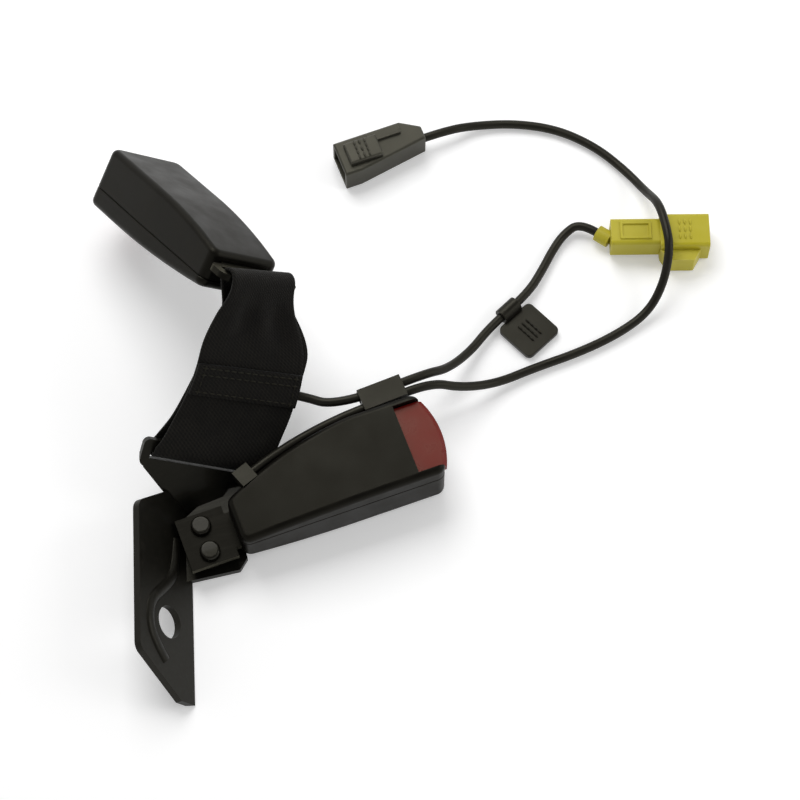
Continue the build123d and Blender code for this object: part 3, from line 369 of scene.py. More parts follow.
class Finish(Enum):
    """The finishes of the buckle, each named for its real material."""

    # Spark-eroded polypropylene: dark and even, with a fine grain that breaks up reflections.
    HOUSING = Moulding("spark_eroded_polypropylene_black", "#080706", "#1d1a14", 0.4, 0.55, 0.012,
                       1.49, 0.14)
    # Polished acetal: the smooth lining that the tongue slides on.
    MOUTH = Moulding("polished_acetal_black", "#11110f", "#25231f", 0.3, 0.8, 0.004, 1.48, 0.4)
    # Gloss ABS in dark red: deep colour and clear highlights, paler where thumbs rub it.
    BUTTON = Moulding("gloss_abs_red", "#650f0d", "#7c1f1b", 0.3, 1.1, 0.006, 1.54, 0.2)
    # Black-passivated steel: dull dark metal with soft streaks.
    FRAME = Steel("black_passivated_steel", "#0d0c0a", "#2e2b25", 0.45, 0.6, 0.5, 0.004, 0.0, 0.2)
    # Dip-coated pressed steel: black enamel with a faint orange peel and grey edges.
    BRACKET = Steel("dip_coated_steel_black", "#0a0907", "#26231d", 0.4, 0.0, 1.4, 0.02, 0.05, 0.18)
    # Headed mild steel rivets under the same coat, with soft bright streaks.
    RIVET = Steel("coated_mild_steel_rivet", "#0f0e0b", "#333029", 0.36, 0.3, 0.9, 0.01, 0.1, 0.25)
    # Drawn spring wire: bright, smooth and slightly blue.
    SPRING = Steel("drawn_spring_wire", "#9a9c9e", "#c4c5c4", 0.25, 1.0, 0.3, 0.002)
    # Flexible PVC sleeve: satin black with slow waves from the extruder.
    LEAD = Moulding("extruded_flexible_pvc_black", "#0d0c0a", "#221f1a", 0.45, 1.6, 0.03, 1.53, 0.25)
    # Glass-filled nylon: matt mid grey with a coarse flow grain.
    SWITCH = Moulding("glass_filled_nylon_grey", "#6b6b66", "#85847d", 0.6, 0.5, 0.012, 1.53)
    # Moulded PBT in grey: satin, paler on rubbed edges.
    GREY = Moulding("moulded_pbt_grey", "#2d2c26", "#4e4d45", 0.45, 0.6, 0.01, 1.55, 0.3)
    # Moulded PBT in dull yellow: satin, paler in patches from handling.
    YELLOW = Moulding("moulded_pbt_yellow", "#b4a924", "#c8bf58", 0.42, 0.7, 0.01, 1.55, 0.35)
    # Stamped brass terminals: warm bright metal.
    BRASS = Steel("stamped_brass", "#c9a24a", "#e2c67c", 0.28, 1.0, 0.4, 0.002)
    # Moulded nylon clips: black with a slight gloss.
    CLIP = Moulding("moulded_nylon_black", "#0b0a08", "#24211c", 0.38, 0.9, 0.012, 1.53, 0.22)
    # Polyester webbing: the 1.6 mm ribs are drawn a little coarse so that they show, with a painted
    # highlight on the raised weave.
    WEBBING = Weave("woven_polyester_black", "#070605", "#1b1914", 1.6, 1.1, 0.12)
    # Bonded polyester thread: a shade lighter than the webbing, with a slight gloss.
    THREAD = Moulding("bonded_polyester_thread", "#14130f", "#25221c", 0.5, 0.4, 0.02, 1.5, 0.25)

    @property
    def paint(self) -> bpy.types.Material:
        """The finish's material."""
        return self.value.material()


def new_object(name: str, shape: bmesh.types.BMesh, finish: Finish) -> bpy.types.Object:
    """Make an object of a finished shape.

    Args:
        name: The object's name.
        shape: Its mesh under construction, which is freed.
        finish: Its finish.

    Returns:
        The object, linked to the scene.
    """
    mesh = bpy.data.meshes.new(name)
    shape.to_mesh(mesh)
    shape.free()
    mesh.materials.append(finish.paint)
    piece = bpy.data.objects.new(name, mesh)
    bpy.context.scene.collection.objects.link(piece)
    return piece


def crisp(shape: bmesh.types.BMesh) -> None:
    """Shade a shape smooth and keep the edges that are sharp on the real piece."""
    for face in shape.faces:
        face.smooth = True
    for edge in shape.edges:
        edge.smooth = len(edge.link_faces) == 2 and edge.calc_face_angle() < SHARP_ANGLE


def ease_edges(shape: bmesh.types.BMesh, width_mm: float) -> None:
    """Round the sharp outer edges and mark the new faces as rubbed.

    Args:
        shape: The mesh to change.
        width_mm: How far each edge is cut back.
    """
    bmesh.ops.dissolve_limit(shape, angle_limit=FLAT_ANGLE, verts=shape.verts, edges=shape.edges)
    wear = shape.faces.layers.float.new("edge_wear")
    joined = [e for e in shape.edges if len(e.link_faces) == 2 and e.is_convex]
    outer = [e for e in joined if e.calc_face_angle() > SHARP_ANGLE]
    made = bmesh.ops.bevel(shape, geom=outer, offset=width_mm * MM, segments=2, profile=0.5,
                           affect="EDGES", clamp_overlap=True)
    for face in made["faces"]:
        face[wear] = 1.0


@dataclass(frozen=True)
class Seam:
    """The plane where two mouldings meet, by a place on it in millimetres and its normal."""

    place: Point
    normal: Point
    groove_mm: float = 0.4
    reach: float = 2e-5

    def cut(self, shape: bmesh.types.BMesh) -> None:
        """Ease the rims that lie in the plane, so that two halves leave a fine groove.

        Args:
            shape: The mesh to change.
        """
        middle, normal = at(self.place), Vector(self.normal)
        rims = []
        for edge in shape.edges:
            if all(abs((v.co - middle).dot(normal)) < self.reach for v in edge.verts):
                if len(edge.link_faces) == 2 and edge.calc_face_angle() > SHARP_ANGLE:
                    rims.append(edge)
        bmesh.ops.bevel(shape, geom=rims, offset=self.groove_mm * MM, segments=1, profile=0.5,
                        affect="EDGES", clamp_overlap=False)


def dress(node: str, finish: Finish, edge_mm: float = 0.0,
          seam: Seam | None = None) -> bpy.types.Object:
    """Put a smooth, eased copy in the place of a CAD node.

    Args:
        node: The CAD node's name.
        finish: The copy's finish.
        edge_mm: How far the sharp edges are eased, or nothing.
        seam: The plane of the moulding's rim, or nothing.

    Returns:
        The copy, riding on the node's body.
    """
    source = frame["nodes"][node]
    shape = bmesh.new()
    shape.from_mesh(source.data)
    bmesh.ops.remove_doubles(shape, verts=shape.verts, dist=MERGE_DISTANCE)
    if edge_mm:
        ease_edges(shape, edge_mm)
    if seam:
        seam.cut(shape)
    crisp(shape)
    piece = new_object(f"{node}_dressed", shape, finish)
    even = piece.modifiers.new("even_shading", "WEIGHTED_NORMAL")
    even.keep_sharp = True
    even.weight = 100
    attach(piece, source["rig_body"])
    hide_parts(node)
    LOG.info("dressed %s", node)
    return piece


def settle(piece: bpy.types.Object, body: str) -> bpy.types.Object:
    """Let a new piece ride on a body, and report it.

    Args:
        piece: The new piece.
        body: The CAD body that carries it.

    Returns:
        The piece.
    """
    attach(piece, body)
    LOG.info("made %s", piece.name)
    return piece


def baked(piece: bpy.types.Object, name: str) -> bpy.types.Object:
    """Turn a piece with modifiers or a curve into a plain mesh.

    Args:
        piece: The piece, which is removed.
        name: The new piece's name.

    Returns:
        The plain mesh piece.
    """
    graph = bpy.context.evaluated_depsgraph_get()
    mesh = bpy.data.meshes.new_from_object(piece.evaluated_get(graph))
    bpy.data.objects.remove(piece)
    plain = bpy.data.objects.new(name, mesh)
    bpy.context.scene.collection.objects.link(plain)
    return plain


def row_tree() -> bpy.types.NodeTree:
    """Make the tree that sets round-ended bars along a line, for stitches and ribs.

    Returns:
        The tree, with inputs for the bar's pitch, sizes and finish.
    """
    tree = bpy.data.node_groups.new("bar_row", "GeometryNodeTree")
    face = tree.interface
    face.new_socket("Line", in_out="INPUT", socket_type="NodeSocketGeometry")
    for size in ("Pitch", "Bar Length", "Bar Width"):
        face.new_socket(size, in_out="INPUT", socket_type="NodeSocketFloat")
    face.new_socket("Finish", in_out="INPUT", socket_type="NodeSocketMaterial")
    face.new_socket("Row", in_out="OUTPUT", socket_type="NodeSocketGeometry")
    given = add_node(tree, "NodeGroupInput").outputs
    line = add_node(tree, "GeometryNodeMeshToCurve", {}, {"Mesh": given["Line"]})
    spots = add_node(tree, "GeometryNodeResampleCurve", {"mode": "LENGTH"},
                     {"Curve": line.outputs["Curve"], "Length": given["Pitch"]})
    heading = add_node(tree, "GeometryNodeInputTangent")
    turn = add_node(tree, "FunctionNodeAlignRotationToVector", {"axis": "Z"},
                    {"Vector": heading.outputs["Tangent"]})
    bar = add_node(tree, "GeometryNodeMeshUVSphere", {},
                   {"Segments": BAR_SEGMENTS, "Rings": BAR_RINGS, "Radius": 0.5})
    size = add_node(tree, "ShaderNodeCombineXYZ", {},
                    {"X": given["Bar Width"], "Y": given["Bar Width"], "Z": given["Bar Length"]})
    row = add_node(tree, "GeometryNodeInstanceOnPoints", {},
                   {"Points": spots.outputs["Curve"], "Instance": bar.outputs["Mesh"],
                    "Rotation": turn.outputs["Rotation"], "Scale": size.outputs["Vector"]})
    real = add_node(tree, "GeometryNodeRealizeInstances", {}, {"Geometry": row.outputs["Instances"]})
    smooth = add_node(tree, "GeometryNodeSetShadeSmooth", {}, {"Geometry": real.outputs["Geometry"]})
    done = add_node(tree, "GeometryNodeSetMaterial", {},
                    {"Geometry": smooth.outputs["Geometry"], "Material": given["Finish"]})
    add_node(tree, "NodeGroupOutput", {}, {"Row": done.outputs["Geometry"]})
    return tree


def bar_rows(name: str, lines: Sequence[Sequence[Vector]], pitch_mm: float, length_mm: float,
             width_mm: float, finish: Finish) -> bpy.types.Object:
    """Set rows of stitches or ribs along lines.

    Args:
        name: The piece's name.
        lines: The lines, each a list of places in metres.
        pitch_mm: The spacing along a line.
        length_mm: The length of one bar.
        width_mm: The thickness of one bar.
        finish: The bars' finish.

    Returns:
        The rows as one plain mesh.
    """
    mesh = bpy.data.meshes.new(name + "_lines")
    spots = [p for line in lines for p in line]
    edges = []
    first = 0
    for line in lines:
        edges += [(first + i, first + i + 1) for i in range(len(line) - 1)]
        first += len(line)
    mesh.from_pydata(spots, edges, [])
    piece = bpy.data.objects.new(name + "_lines", mesh)
    bpy.context.scene.collection.objects.link(piece)
    tree = bpy.data.node_groups.get("bar_row") or row_tree()
    rows = piece.modifiers.new("rows", "NODES")
    rows.node_group = tree
    values = {"Pitch": pitch_mm * MM, "Bar Length": length_mm * MM, "Bar Width": width_mm * MM,
              "Finish": finish.paint}
    for socket in tree.interface.items_tree:
        if socket.name in values:
            rows[socket.identifier] = values[socket.name]
    return baked(piece, name)


def smooth_tube(name: str, route: Sequence[Point], diameter_mm: float,
                finish: Finish) -> bpy.types.Object:
    """Make a smooth round lead or bead along a route.

    Args:
        name: The piece's name.
        route: Its control points in millimetres.
        diameter_mm: Its thickness.
        finish: Its finish.

    Returns:
        The curve.
    """
    curve = bpy.data.curves.new(name, "CURVE")
    curve.dimensions = "3D"
    curve.bevel_depth = diameter_mm / 2 * MM
    curve.bevel_resolution = TUBE_ROUNDNESS
    curve.resolution_u = TUBE_STEPS
    curve.use_fill_caps = True
    line = curve.splines.new("NURBS")
    line.points.add(len(route) - 1)
    for spot, place in zip(line.points, route):
        spot.co = (*at(place), 1.0)
    line.order_u = 3
    line.use_endpoint_u = True
    curve.materials.append(finish.paint)
    piece = bpy.data.objects.new(name, curve)
    bpy.context.scene.collection.objects.link(piece)
    return piece


@dataclass(frozen=True)
class Seat:
    """A piece's own frame: its origin in millimetres and its three ways."""

    origin: Point
    x_way: Point
    y_way: Point
    z_way: Point

    def spot(self, x: float, y: float, z: float) -> Vector:
        """Return a place in the frame, in millimetres of the part."""
        place = Vector(self.origin) + Vector(self.x_way) * x
        return place + Vector(self.y_way) * y + Vector(self.z_way) * z


def window_frame(name: str, seat: Seat, low: Point, size: Point, rim_mm: float,
                 finish: Finish) -> bpy.types.Object:
    """Make a raised rectangular rim, as moulded round a window.

    Args:
        name: The piece's name.
        seat: The frame that it is drawn in.
        low: Its lowest corner.
        size: Its length, width and height.
        rim_mm: The rim's width.
        finish: Its finish.

    Returns:
        The rim.
    """
    shape = bmesh.new()
    loops = []
    for inset in (0.0, rim_mm):
        for height, draft in ((0.0, 0.0), (size[2], RIM_DRAFT_MM)):
            draw = inset - draft if inset else inset + draft
            x0, y0 = low[0] + draw, low[1] + draw
            x1, y1 = low[0] + size[0] - draw, low[1] + size[1] - draw
            corners = ((x0, y0), (x1, y0), (x1, y1), (x0, y1))
            loops.append([shape.verts.new(seat.spot(x, y, low[2] + height) * MM) for x, y in corners])
    outer_low, outer_top, inner_low, inner_top = loops
    order = (outer_low, outer_top, inner_top, inner_low, outer_low)
    for one, other in zip(order, order[1:]):
        for i in range(4):
            j = (i + 1) % 4
            shape.faces.new((one[i], one[j], other[j], other[i]))
    bmesh.ops.recalc_face_normals(shape, faces=shape.faces)
    return new_object(name, shape, finish)


@dataclass
class Studio:
    """The pale floor, the soft light and the camera at the photograph's angle."""

    target: Point = (90.0, 40.0, 0.0)
    azimuth: float = -16.3
    elevation: float = 66.0
    frame_mm: float = 320.0
    lens_mm: float = 120.0
    sensor_mm: float = 36.0
    back_watts: float = 5.8
    right_watts: float = 1.4
    sky_at_horizon: float = 1.0
    sky_overhead: float = 0.25
    floor_half_m: float = 4.0
    floor_drop_m: float = 0.0006
    floor_lift: float = 0.25

    def build(self) -> None:
        """Make the camera, the lights, the world and the floor."""
        self.camera()
        self.world()
        self.lamp("back_softbox", (40, 620, 800), (60, 50, 0), 620, self.back_watts)
        self.lamp("right_softbox", (800, -150, 500), (60, 40, 0), 420, self.right_watts)
        self.floor()

    def camera(self) -> None:
        """Aim a long lens at the target from the photograph's side."""
        turn, rise = radians(self.azimuth), radians(self.elevation)
        back = Vector((sin(turn) * cos(rise), -cos(turn) * cos(rise), sin(rise)))
        lens = bpy.data.cameras.new("camera")
        lens.lens = self.lens_mm
        lens.sensor_width = self.sensor_mm
        eye = bpy.data.objects.new("camera", lens)
        eye.location = at(self.target) + back * (self.frame_mm * MM * self.lens_mm / self.sensor_mm)
        eye.rotation_euler = (-back).to_track_quat("-Z", "Y").to_euler()
        bpy.context.scene.collection.objects.link(eye)
        bpy.context.scene.camera = eye
        bpy.context.scene.view_settings.view_transform = "Standard"

    def world(self) -> None:
        """Light the scene evenly, white at the horizon and dimmer overhead."""
        world = bpy.data.worlds.new("studio")
        bpy.context.scene.world = world
        world.use_nodes = True
        tree = world.node_tree
        way = add_node(tree, "ShaderNodeTexCoord")
        split = add_node(tree, "ShaderNodeSeparateXYZ", {}, {"Vector": way.outputs["Generated"]})
        glow = add_node(tree, "ShaderNodeMapRange", {},
                        {"Value": split.outputs["Z"], "From Min": 0.1, "From Max": 0.8,
                         "To Min": self.sky_at_horizon, "To Max": self.sky_overhead})
        sky = tree.nodes["Background"]
        sky.inputs["Color"].default_value = linear("#ffffff")
        tree.links.new(glow.outputs["Result"], sky.inputs["Strength"])

    def lamp(self, name: str, place: Point, aim: Point, size_mm: float, watts: float) -> None:
        """Hang a square soft light.

        Args:
            name: The lamp's name.
            place: Where it hangs, in millimetres.
            aim: What it points at.
            size_mm: Its side.
            watts: Its power.
        """
        light = bpy.data.lights.new(name, "AREA")
        light.size = size_mm * MM
        light.energy = watts
        lamp = bpy.data.objects.new(name, light)
        lamp.location = at(place)
        lamp.rotation_euler = (at(aim) - at(place)).to_track_quat("-Z", "Y").to_euler()
        bpy.context.scene.collection.objects.link(lamp)

    def floor(self) -> None:
        """Lay a white sheet that keeps the object's shadow."""
        shape = bmesh.new()
        bmesh.ops.create_grid(shape, x_segments=1, y_segments=1, size=self.floor_half_m)
        mesh = bpy.data.meshes.new("floor")
        shape.to_mesh(mesh)
        shape.free()
        floor = bpy.data.objects.new("floor", mesh)
        floor.location.z = -self.floor_drop_m
        mesh.materials.append(made_once("matt_white_paper", self.paper))
        bpy.context.scene.collection.objects.link(floor)

    def paper(self, tree: bpy.types.NodeTree, shader: bpy.types.Node) -> None:
        """Fill the floor's tree: matt white that glows a little to the camera.

        Args:
            tree: The material's tree.
            shader: Its shader.
        """
        shader.inputs["Base Color"].default_value = linear("#f4f4f4")
        shader.inputs["Roughness"].default_value = 1.0
        shader.inputs["Specular IOR Level"].default_value = 0.0
        rays = add_node(tree, "ShaderNodeLightPath")
        seen = add_node(tree, "ShaderNodeMath", {"operation": "MAXIMUM"},
                        {0: rays.outputs["Is Camera Ray"], 1: rays.outputs["Is Glossy Ray"]})
        seen = add_node(tree, "ShaderNodeMath", {"operation": "MAXIMUM"},
                        {0: seen.outputs[0], 1: rays.outputs["Is Transmission Ray"]})
        lift = add_node(tree, "ShaderNodeMath", {"operation": "MULTIPLY"},
                        {0: seen.outputs[0], 1: self.floor_lift})
        shader.inputs["Emission Color"].default_value = linear("#ffffff")
        tree.links.new(lift.outputs[0], shader.inputs["Emission Strength"])


@dataclass
class Buckle:
    """One buckle: its housing, button, mouth and mechanism."""

    name: str
    seat: Point
    axis: Point
    front: Point
    parting_mm: float = 6.0
    button_travel_mm: float = 6.0
    ejector_travel_mm: float = 10.0

    def build(self) -> None:
        """Dress the pieces that show and those inside."""
        rim = Vector(self.seat) + Vector(self.front) * self.parting_mm
        seam = Seam(tuple(rim), self.front)
        dress(f"{self.name}_back_shell", Finish.HOUSING, seam=seam)
        dress(f"{self.name}_front_shell", Finish.HOUSING, seam=seam)
        dress(f"{self.name}_tongue_mouth", Finish.MOUTH)
        dress(f"{self.name}_button", Finish.BUTTON)
        dress(f"{self.name}_frame", Finish.FRAME)
        for inner in ("lock_bar", "latch", "latch_pin", "ejector"):
            dress(f"{self.name}_{inner}", Finish.FRAME)
        self.spring("button_springs")
        self.spring("ejector_springs")
        dress(f"{self.name}_switch", Finish.SWITCH)

    def spring(self, node: str) -> None:
        """Dress a pair of springs and give the copy a mesh of its own.

        Args:
            node: The springs' node, without the buckle's name.
        """
        piece = dress(f"{self.name}_{node}", Finish.SPRING)
        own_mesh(piece)


@dataclass
class AnchorBracket:
    """The pressed bracket with its rivets and spacers."""

    wall: Seat = Seat((-12.0, -12.0, 1.5), (0.23175, 0.97278, 0.0), (-0.55796, 0.13293, 0.81915),
                      (0.79686, -0.18984, 0.57358))
    edge_mm: float = 0.45
    sheet_mm: float = 3.0
    bead_mm: float = 6.0
    bead_rise_mm: float = 1.0

    def build(self) -> None:
        """Dress the bracket, its rivets and its spacers, and press the bead into the wall."""
        dress("anchor_bracket", Finish.BRACKET, self.edge_mm)
        settle(self.bead(), "base")
        dress("stalk_rivets", Finish.RIVET)
        dress("stalk_spacers", Finish.BRACKET)

    def bead(self) -> bpy.types.Object:
        """Return the low bead that stiffens the wall, the same on both of its faces."""
        line = ((16, 6), (8, 7), (0, 9), (-6, 15), (-12, 22), (-21, 23.5), (-29, 20), (-35, 14))
        route = [tuple(self.wall.spot(along, up, 0.0)) for along, up in line]
        bead = baked(smooth_tube("bead_line", route, self.bead_mm, Finish.BRACKET), "bracket_bead")
        middle, normal = at(self.wall.origin), Vector(self.wall.z_way)
        flatter = (self.sheet_mm + 2 * self.bead_rise_mm) / self.bead_mm
        for vertex in bead.data.vertices:
            vertex.co -= normal * (vertex.co - middle).dot(normal) * (1 - flatter)
        return bead


@dataclass(frozen=True)
class Station:
    """One place along a ribbon: its middle, its ways across and out, and how far it is gathered."""

    middle: Vector
    across: Vector
    normal: Vector
    along: float
    gather: float


@dataclass
class WebbingStrap:
    """Doubled webbing, looped round the ear's bar and the upper buckle's tail bar and stitched."""

    foot: Point = (10.0, 32.0, 16.0)
    top: Point = (44.1, 76.8, 60.7)
    foot_across: Point = (0.87491, -0.25538, -0.41148)
    top_across: Point = (0.73934, -0.0411, -0.67207)
    width_mm: float = 46.0
    gathered_mm: float = 30.0
    gather_from: float = 0.58
    gather_to: float = 0.97
    pleat_mm: float = 1.1
    pleats: float = 2.5
    pleat_start: float = 0.7
    thick_mm: float = 1.4
    loop_mm: float = 3.92
    middle_mm: float = 1.5
    neck_mm: float = 15.0
    bow_mm: float = 6.5
    bow_lean: float = 0.85
    back_slip_mm: float = 4.0
    slip_lean: float = 1.8
    edge_round_mm: float = 0.6
    edge_tuck_mm: float = 0.15
    edge_height: float = 0.7
    tail_start: float = 0.34
    tail_end: float = 0.52
    tail_gap_mm: float = 0.05
    row_inset: float = 0.02
    row_step: float = 0.04
    row_edge_mm: float = 3.0
    row_lift_mm: float = 0.1
    stitch_pitch_mm: float = 3.0
    stitch_mm: float = 2.4
    thread_mm: float = 0.7
    steps: int = 48
    loop_steps: int = 14
    across_steps: int = 16
    tail_steps: int = 20
    row_steps: int = 12

    def build(self) -> None:
        """Make the loop of webbing, its sewn end and the stitches."""
        loop = self.ribbon("strap_webbing", self.loop_stations(), True)
        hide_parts("strap")
        settle(loop, "strap")
        settle(self.ribbon("strap_sewn_end", self.end_stations(), False), "strap")
        settle(self.stitches(), "strap")

    def run(self) -> Vector:
        """Return the way from foot to top."""
        return (Vector(self.top) - Vector(self.foot)).normalized()

    def section(self, share: float) -> tuple[Vector, Vector, Vector]:
        """Return the strap's middle, across and normal at a share of its length.

        Args:
            share: From 0 at the foot to 1 at the top.

        Returns:
            The middle in millimetres and two unit vectors.
        """
        across = Vector(self.foot_across).lerp(Vector(self.top_across), share)
        across = (across - self.run() * across.dot(self.run())).normalized()
        bow = across * self.bow_mm * sin(pi * share ** self.bow_lean)
        return Vector(self.foot).lerp(Vector(self.top), share) + bow, across, across.cross(self.run())

    def gather(self, share: float) -> float:
        """Return how far the webbing is gathered: 0 at its full width, 1 at the buckle's bar."""
        return eased((share - self.gather_from) / (self.gather_to - self.gather_from))

    def gap(self, share: float) -> float:
        """Return how far a layer's middle stands from the strap's middle, in millimetres."""
        length = (Vector(self.top) - Vector(self.foot)).length
        near = min(share, 1 - share) * length / self.neck_mm
        return self.loop_mm + (self.middle_mm - self.loop_mm) * eased(near)

    def layer(self, side: float, share: float, lift_mm: float = 0.0) -> Place:
        """Return a place on the front or back layer.

        Args:
            side: 1 for the front, -1 for the back.
            share: The share of the strap's length.
            lift_mm: How far above the layer's middle.

        Returns:
            The place in millimetres, the way across, the outer normal and the gather.
        """
        middle, across, normal = self.section(share)
        if side < 0:
            middle = middle + across * self.back_slip_mm * sin(pi * share ** self.slip_lean) ** 2
        out = normal * side
        return middle + out * (self.gap(share) + lift_mm), across, out, self.gather(share)

    def measured(self, places: list[Place]) -> list[Station]:
        """Turn places into stations with their distance along the ribbon.

        Args:
            places: Middles in millimetres, with their ways across and out and their gather.

        Returns:
            The stations, in metres.
        """
        stations = []
        along = 0.0
        for i, (middle, across, normal, gather) in enumerate(places):
            if i:
                along += (middle - places[i - 1][0]).length
            stations.append(Station(middle * MM, across, normal, along * MM, gather))
        return stations

    def loop_stations(self) -> list[Station]:
        """Return the stations of the closed loop: up the front layer and down the back one."""
        shares = [i / self.steps for i in range(self.steps + 1)]
        places = [self.layer(1, s) for s in shares]
        places += self.turn(1.0, 1)
        places += [self.layer(-1, s) for s in reversed(shares)]
        places += self.turn(0.0, -1)
        return self.measured(places)

    def turn(self, share: float, way: int) -> list[Place]:
        """Return the places of a half turn round a bar.

        Args:
            share: 0 for the foot bar, 1 for the top bar.
            way: 1 from front to back over the end, -1 from back to front under it.

        Returns:
            The places between the two layers.
        """
        middle, across, normal = self.section(share)
        places = []
        for i in range(1, self.loop_steps):
            angle = pi * i / self.loop_steps
            out = normal * way * cos(angle) + self.run() * way * sin(angle)
            places.append((middle + out * self.loop_mm, across, out, self.gather(share)))
        return places

    def end_stations(self) -> list[Station]:
        """Return the stations of the sewn end, which lies on the front layer."""
        length, steps = self.tail_end - self.tail_start, self.tail_steps
        shares = [self.tail_start + length * i / steps for i in range(steps + 1)]
        return self.measured([self.layer(1, s, self.thick_mm + self.tail_gap_mm) for s in shares])

    def profile(self) -> list[tuple[float, float]]:
        """Return the webbing's cross-section, across and out, in millimetres."""
        half, thick = self.width_mm / 2, self.thick_mm / 2
        steps = self.across_steps
        flat = [half * i / steps for i in range(-steps, steps + 1)]
        top = [(x * (1 - self.edge_round_mm / half), thick) for x in flat]
        tuck, height = half - self.edge_tuck_mm, thick * self.edge_height
        edge = [(tuck, height), (half, 0.0), (tuck, -height)]
        bottom = [(x, -y) for x, y in reversed(top)]
        return top + edge + bottom + [(-x, -y) for x, y in edge]

    def ribbon(self, name: str, stations: list[Station], closed: bool) -> bpy.types.Object:
        """Sweep the webbing's section along stations, with a UV map in metres.

        Args:
            name: The piece's name.
            stations: Where the section goes.
            closed: Whether the last station joins the first.

        Returns:
            The ribbon.
        """
        shape = bmesh.new()
        flat = shape.loops.layers.uv.new("webbing")
        outline = self.profile()
        rings = []
        for station in stations:
            rings.append([shape.verts.new(self.spot(station, x, y)) for x, y in outline])
        count = len(outline)
        last = len(rings) if closed else len(rings) - 1
        total = stations[-1].along + (stations[0].middle - stations[-1].middle).length
        for i in range(last):
            j = (i + 1) % len(rings)
            lengths = (stations[i].along, stations[j].along if j else total)
            for k in range(count):
                m = (k + 1) % count
                face = shape.faces.new((rings[i][k], rings[i][m], rings[j][m], rings[j][k]))
                for loop, (ring, spot) in zip(face.loops, ((0, k), (0, m), (1, m), (1, k))):
                    loop[flat].uv = (outline[spot][0] * MM, lengths[ring])
        if not closed:
            shape.faces.new(rings[0][::-1])
            shape.faces.new(rings[-1])
        bmesh.ops.recalc_face_normals(shape, faces=shape.faces)
        for face in shape.faces:
            face.smooth = True
        return new_object(name, shape, Finish.WEBBING)

    def spot(self, station: Station, x: float, y: float) -> Vector:
        """Return a place of the section at a station, narrowed and pleated where it is gathered.

        Args:
            station: Where along the webbing.
            x: How far across the flat webbing, in millimetres.
            y: How far out.

        Returns:
            The place in metres.
        """
        narrow = 1 - station.gather * (1 - self.gathered_mm / self.width_mm)
        pleat = sin(2 * pi * self.pleats * x / self.width_mm + self.pleat_start)
        fold = self.pleat_mm * station.gather * (1 - station.gather) * 4 * pleat
        return station.middle + (station.across * x * narrow + station.normal * (y + fold)) * MM

    def stitches(self) -> bpy.types.Object:
        """Sew the end down: rows across it and rows along its edges.

        Returns:
            The stitches as one piece.
        """
        lift = self.thick_mm * 1.5 + self.row_lift_mm
        half = self.width_mm / 2 - self.row_edge_mm
        lines = []
        first, last = self.tail_start + self.row_inset, self.tail_end - self.row_inset
        for share in (last, last - self.row_step, first):
            middle, across, _, _ = self.layer(1, share, lift)
            lines.append([(middle + across * half * x) * MM for x in (-1, 0, 1)])
        for side in (-1, 1):
            line = []
            for i in range(self.row_steps + 1):
                share = first + (last - first) * i / self.row_steps
                middle, across, _, _ = self.layer(1, share, lift)
                line.append((middle + across * half * side) * MM)
            lines.append(line)
        return bar_rows("strap_stitches", lines, self.stitch_pitch_mm, self.stitch_mm,
                        self.thread_mm, Finish.THREAD)


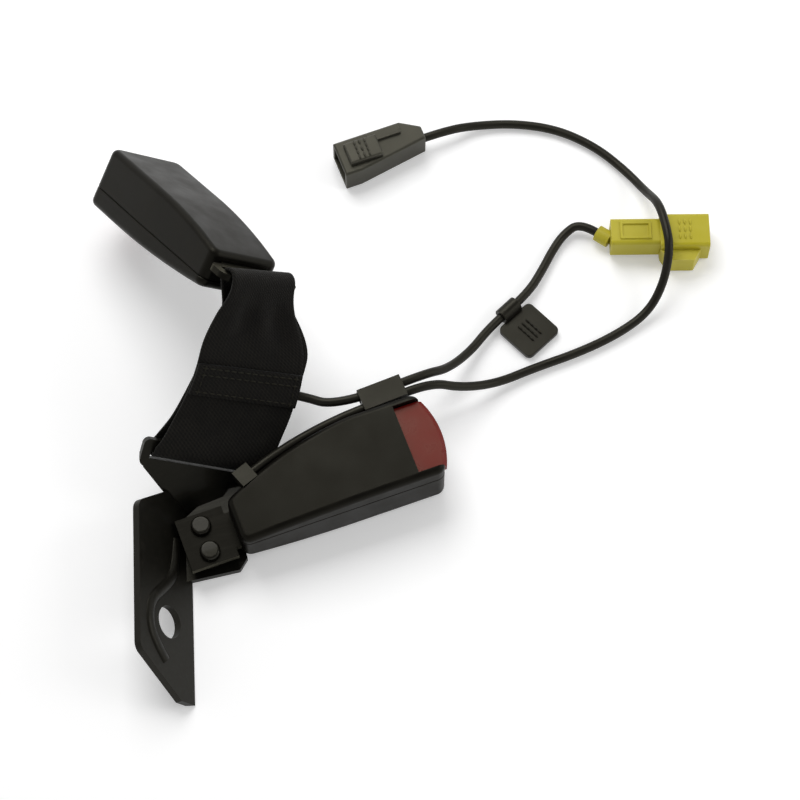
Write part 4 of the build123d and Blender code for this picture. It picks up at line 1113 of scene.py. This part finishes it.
@dataclass
class Leads:
    """The sensing leads: the held ones on the buckle and the two free cords."""

    diameter_mm: float = 3.6
    floor_mm: float = 1.9
    grey_length_mm: float = 281.0
    yellow_length_mm: float = 121.8
    eased_mm: float = 0.3
    rib_mm: float = 2.6
    rib_width_mm: float = 1.0
    rib_pitch_mm: float = 2.2
    rib_reach_mm: float = 3.3
    window_rim_mm: float = 1.4
    grey_seat: Seat = Seat((131.9, 149.0, 6.0), (-0.99678, -0.0802, 0.0), (0.0802, -0.99678, 0.0),
                           (0.0, 0.0, 1.0))
    yellow_seat: Seat = Seat((192.0, 83.0, 6.5), (0.96316, -0.26892, 0.0), (0.26892, 0.96316, 0.0),
                             (0.0, 0.0, 1.0))
    clip_seat: Seat = Seat((143.0, 64.4, 3.25), (0.88048, 0.47409, 0.0), (-0.47409, 0.88048, 0.0),
                           (0.0, 0.0, 1.0))

    def build(self) -> None:
        """Make the held leads, their clip and outlet, and the cords with their connectors."""
        dress("lower_lead", Finish.LEAD)
        dress("edge_clip", Finish.CLIP, self.eased_mm)
        dress("lead_grommet", Finish.CLIP)
        self.bridge()
        grey = [dress("grey_connector_body", Finish.GREY, self.eased_mm),
                dress("grey_connector_lock", Finish.GREY, self.eased_mm),
                dress("grey_connector_terminals", Finish.BRASS)]
        yellow = [dress("yellow_connector_body", Finish.YELLOW, self.eased_mm),
                  dress("yellow_connector_lock", Finish.YELLOW, self.eased_mm),
                  dress("yellow_connector_terminals", Finish.BRASS),
                  dress("harness_clip", Finish.CLIP, self.eased_mm)]
        ribs = self.grips("grey_lock_grips", self.grey_seat, (27.0, 0.0, 8.7), Finish.GREY)
        grey.append(settle(ribs, "base"))
        ribs = self.grips("yellow_lock_grips", self.yellow_seat, (30.0, 0.0, 6.6), Finish.YELLOW)
        yellow.append(settle(ribs, "base"))
        ribs = self.grips("clip_grips", self.clip_seat, (0.0, -12.0, -0.75), Finish.CLIP)
        yellow.append(settle(ribs, "base"))
        window = window_frame("yellow_window", self.yellow_seat, (3.5, -4.0, 5.6), (13.0, 8.0, 0.8),
                              self.window_rim_mm, Finish.YELLOW)
        yellow.append(settle(window, "base"))
        self.cord("grey_cord", self.grey_route(), self.grey_length_mm, grey)
        self.cord("yellow_cord", self.yellow_route(), self.yellow_length_mm, yellow)

    def grips(self, name: str, seat: Seat, middle: Point, finish: Finish) -> bpy.types.Object:
        """Raise three rows of grip ribs on a lock or clip.

        Args:
            name: The piece's name.
            seat: The frame that the place is given in.
            middle: The middle of the ribs, on the surface.
            finish: Their finish.

        Returns:
            The ribs as one piece.
        """
        x, y, z = middle
        reach, pitch = self.rib_reach_mm, self.rib_pitch_mm
        rows = []
        for step in (-pitch, 0.0, pitch):
            rows.append([seat.spot(x + step, y + side, z) * MM for side in (-reach, reach)])
        return bar_rows(name, rows, pitch, self.rib_mm, self.rib_width_mm, finish)

    def grey_route(self) -> list[Point]:
        """Return the grey connector's cord, which crosses the yellow connector in a low hump."""
        low = self.floor_mm
        return [(90.72, 34.26, 19.4), (101.65, 35.5, 19.4), (113, 33.6, 11.4), (128.5, 34.6, 3.4),
                (146, 37.6, low), (164, 39, low), (181.5, 42.2, low), (196.5, 47.5, 3),
                (205.5, 55.5, 9), (211, 66, 18), (212.6, 76, 18.6), (213.3, 87.5, 17.4),
                (212.8, 99.5, 5.6), (209, 112.5, low), (200.5, 127, low), (187.5, 139.6, low),
                (171, 147.4, low), (154.5, 150.8, 2.4), (142.86, 149.88, 6), (131.9, 149, 6)]

    def yellow_route(self) -> list[Point]:
        """Return the yellow connector's cord, which runs through its flat clip."""
        low = self.floor_mm
        return [(90.23, 38.63, 19.4), (101.16, 39.88, 19.4), (110.5, 43, 11), (122.5, 50.6, 4.4),
                (133.05, 59.04, 3.25), (152.95, 69.76, 3.25), (161.5, 78.2, 2.4), (168.5, 86, low),
                (175, 91.6, 2.2), (182.68, 94.11, 4), (188.14, 87.6, 4)]

    def cord(self, node: str, route: list[Point], length_mm: float,
             pieces: list[bpy.types.Object]) -> None:
        """Args:
            node: The CAD node that it stands for.
            route: Its control points in millimetres.
            length_mm: Its real length; not used.
            pieces: What is on it; not used.
        """
        cord = smooth_tube(f"{node}_sleeve", route, self.diameter_mm, Finish.LEAD)
        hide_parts(node)
        settle(cord, "base")

    def bridge(self) -> None:
        """Make the lead that comes out of the strap and runs into the clip."""
        route = [(43.5, 46.45, 22.21), (50.32, 45.26, 18.2), (63.4, 35.59, 19.4), (90.23, 38.63, 19.4)]
        line = smooth_tube("bridge_line", route, self.diameter_mm, Finish.LEAD)
        piece = baked(line, "bridge_lead_sleeve")
        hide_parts("bridge_lead")
        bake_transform(piece)
        LOG.info("made %s", piece.name)


def main() -> None:
    """Build the studio and each sub-assembly in order."""
    logging.basicConfig(level=logging.INFO, format="%(message)s")
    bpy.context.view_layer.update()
    Studio().build()
    lower = Buckle("lower", (11.48, 7.82, 11.0), (0.99756, 0.06976, 0.0), (0.0, 0.0, 1.0))
    upper = Buckle("upper", (39.70, 85.43, 55.34), (-0.33306, 0.84515, -0.41808),
                   (-0.58519, -0.53294, -0.61117))
    for assembly in (AnchorBracket(), lower, upper, WebbingStrap(), Leads()):
        assembly.build()


if __name__ == "__main__":
    main()
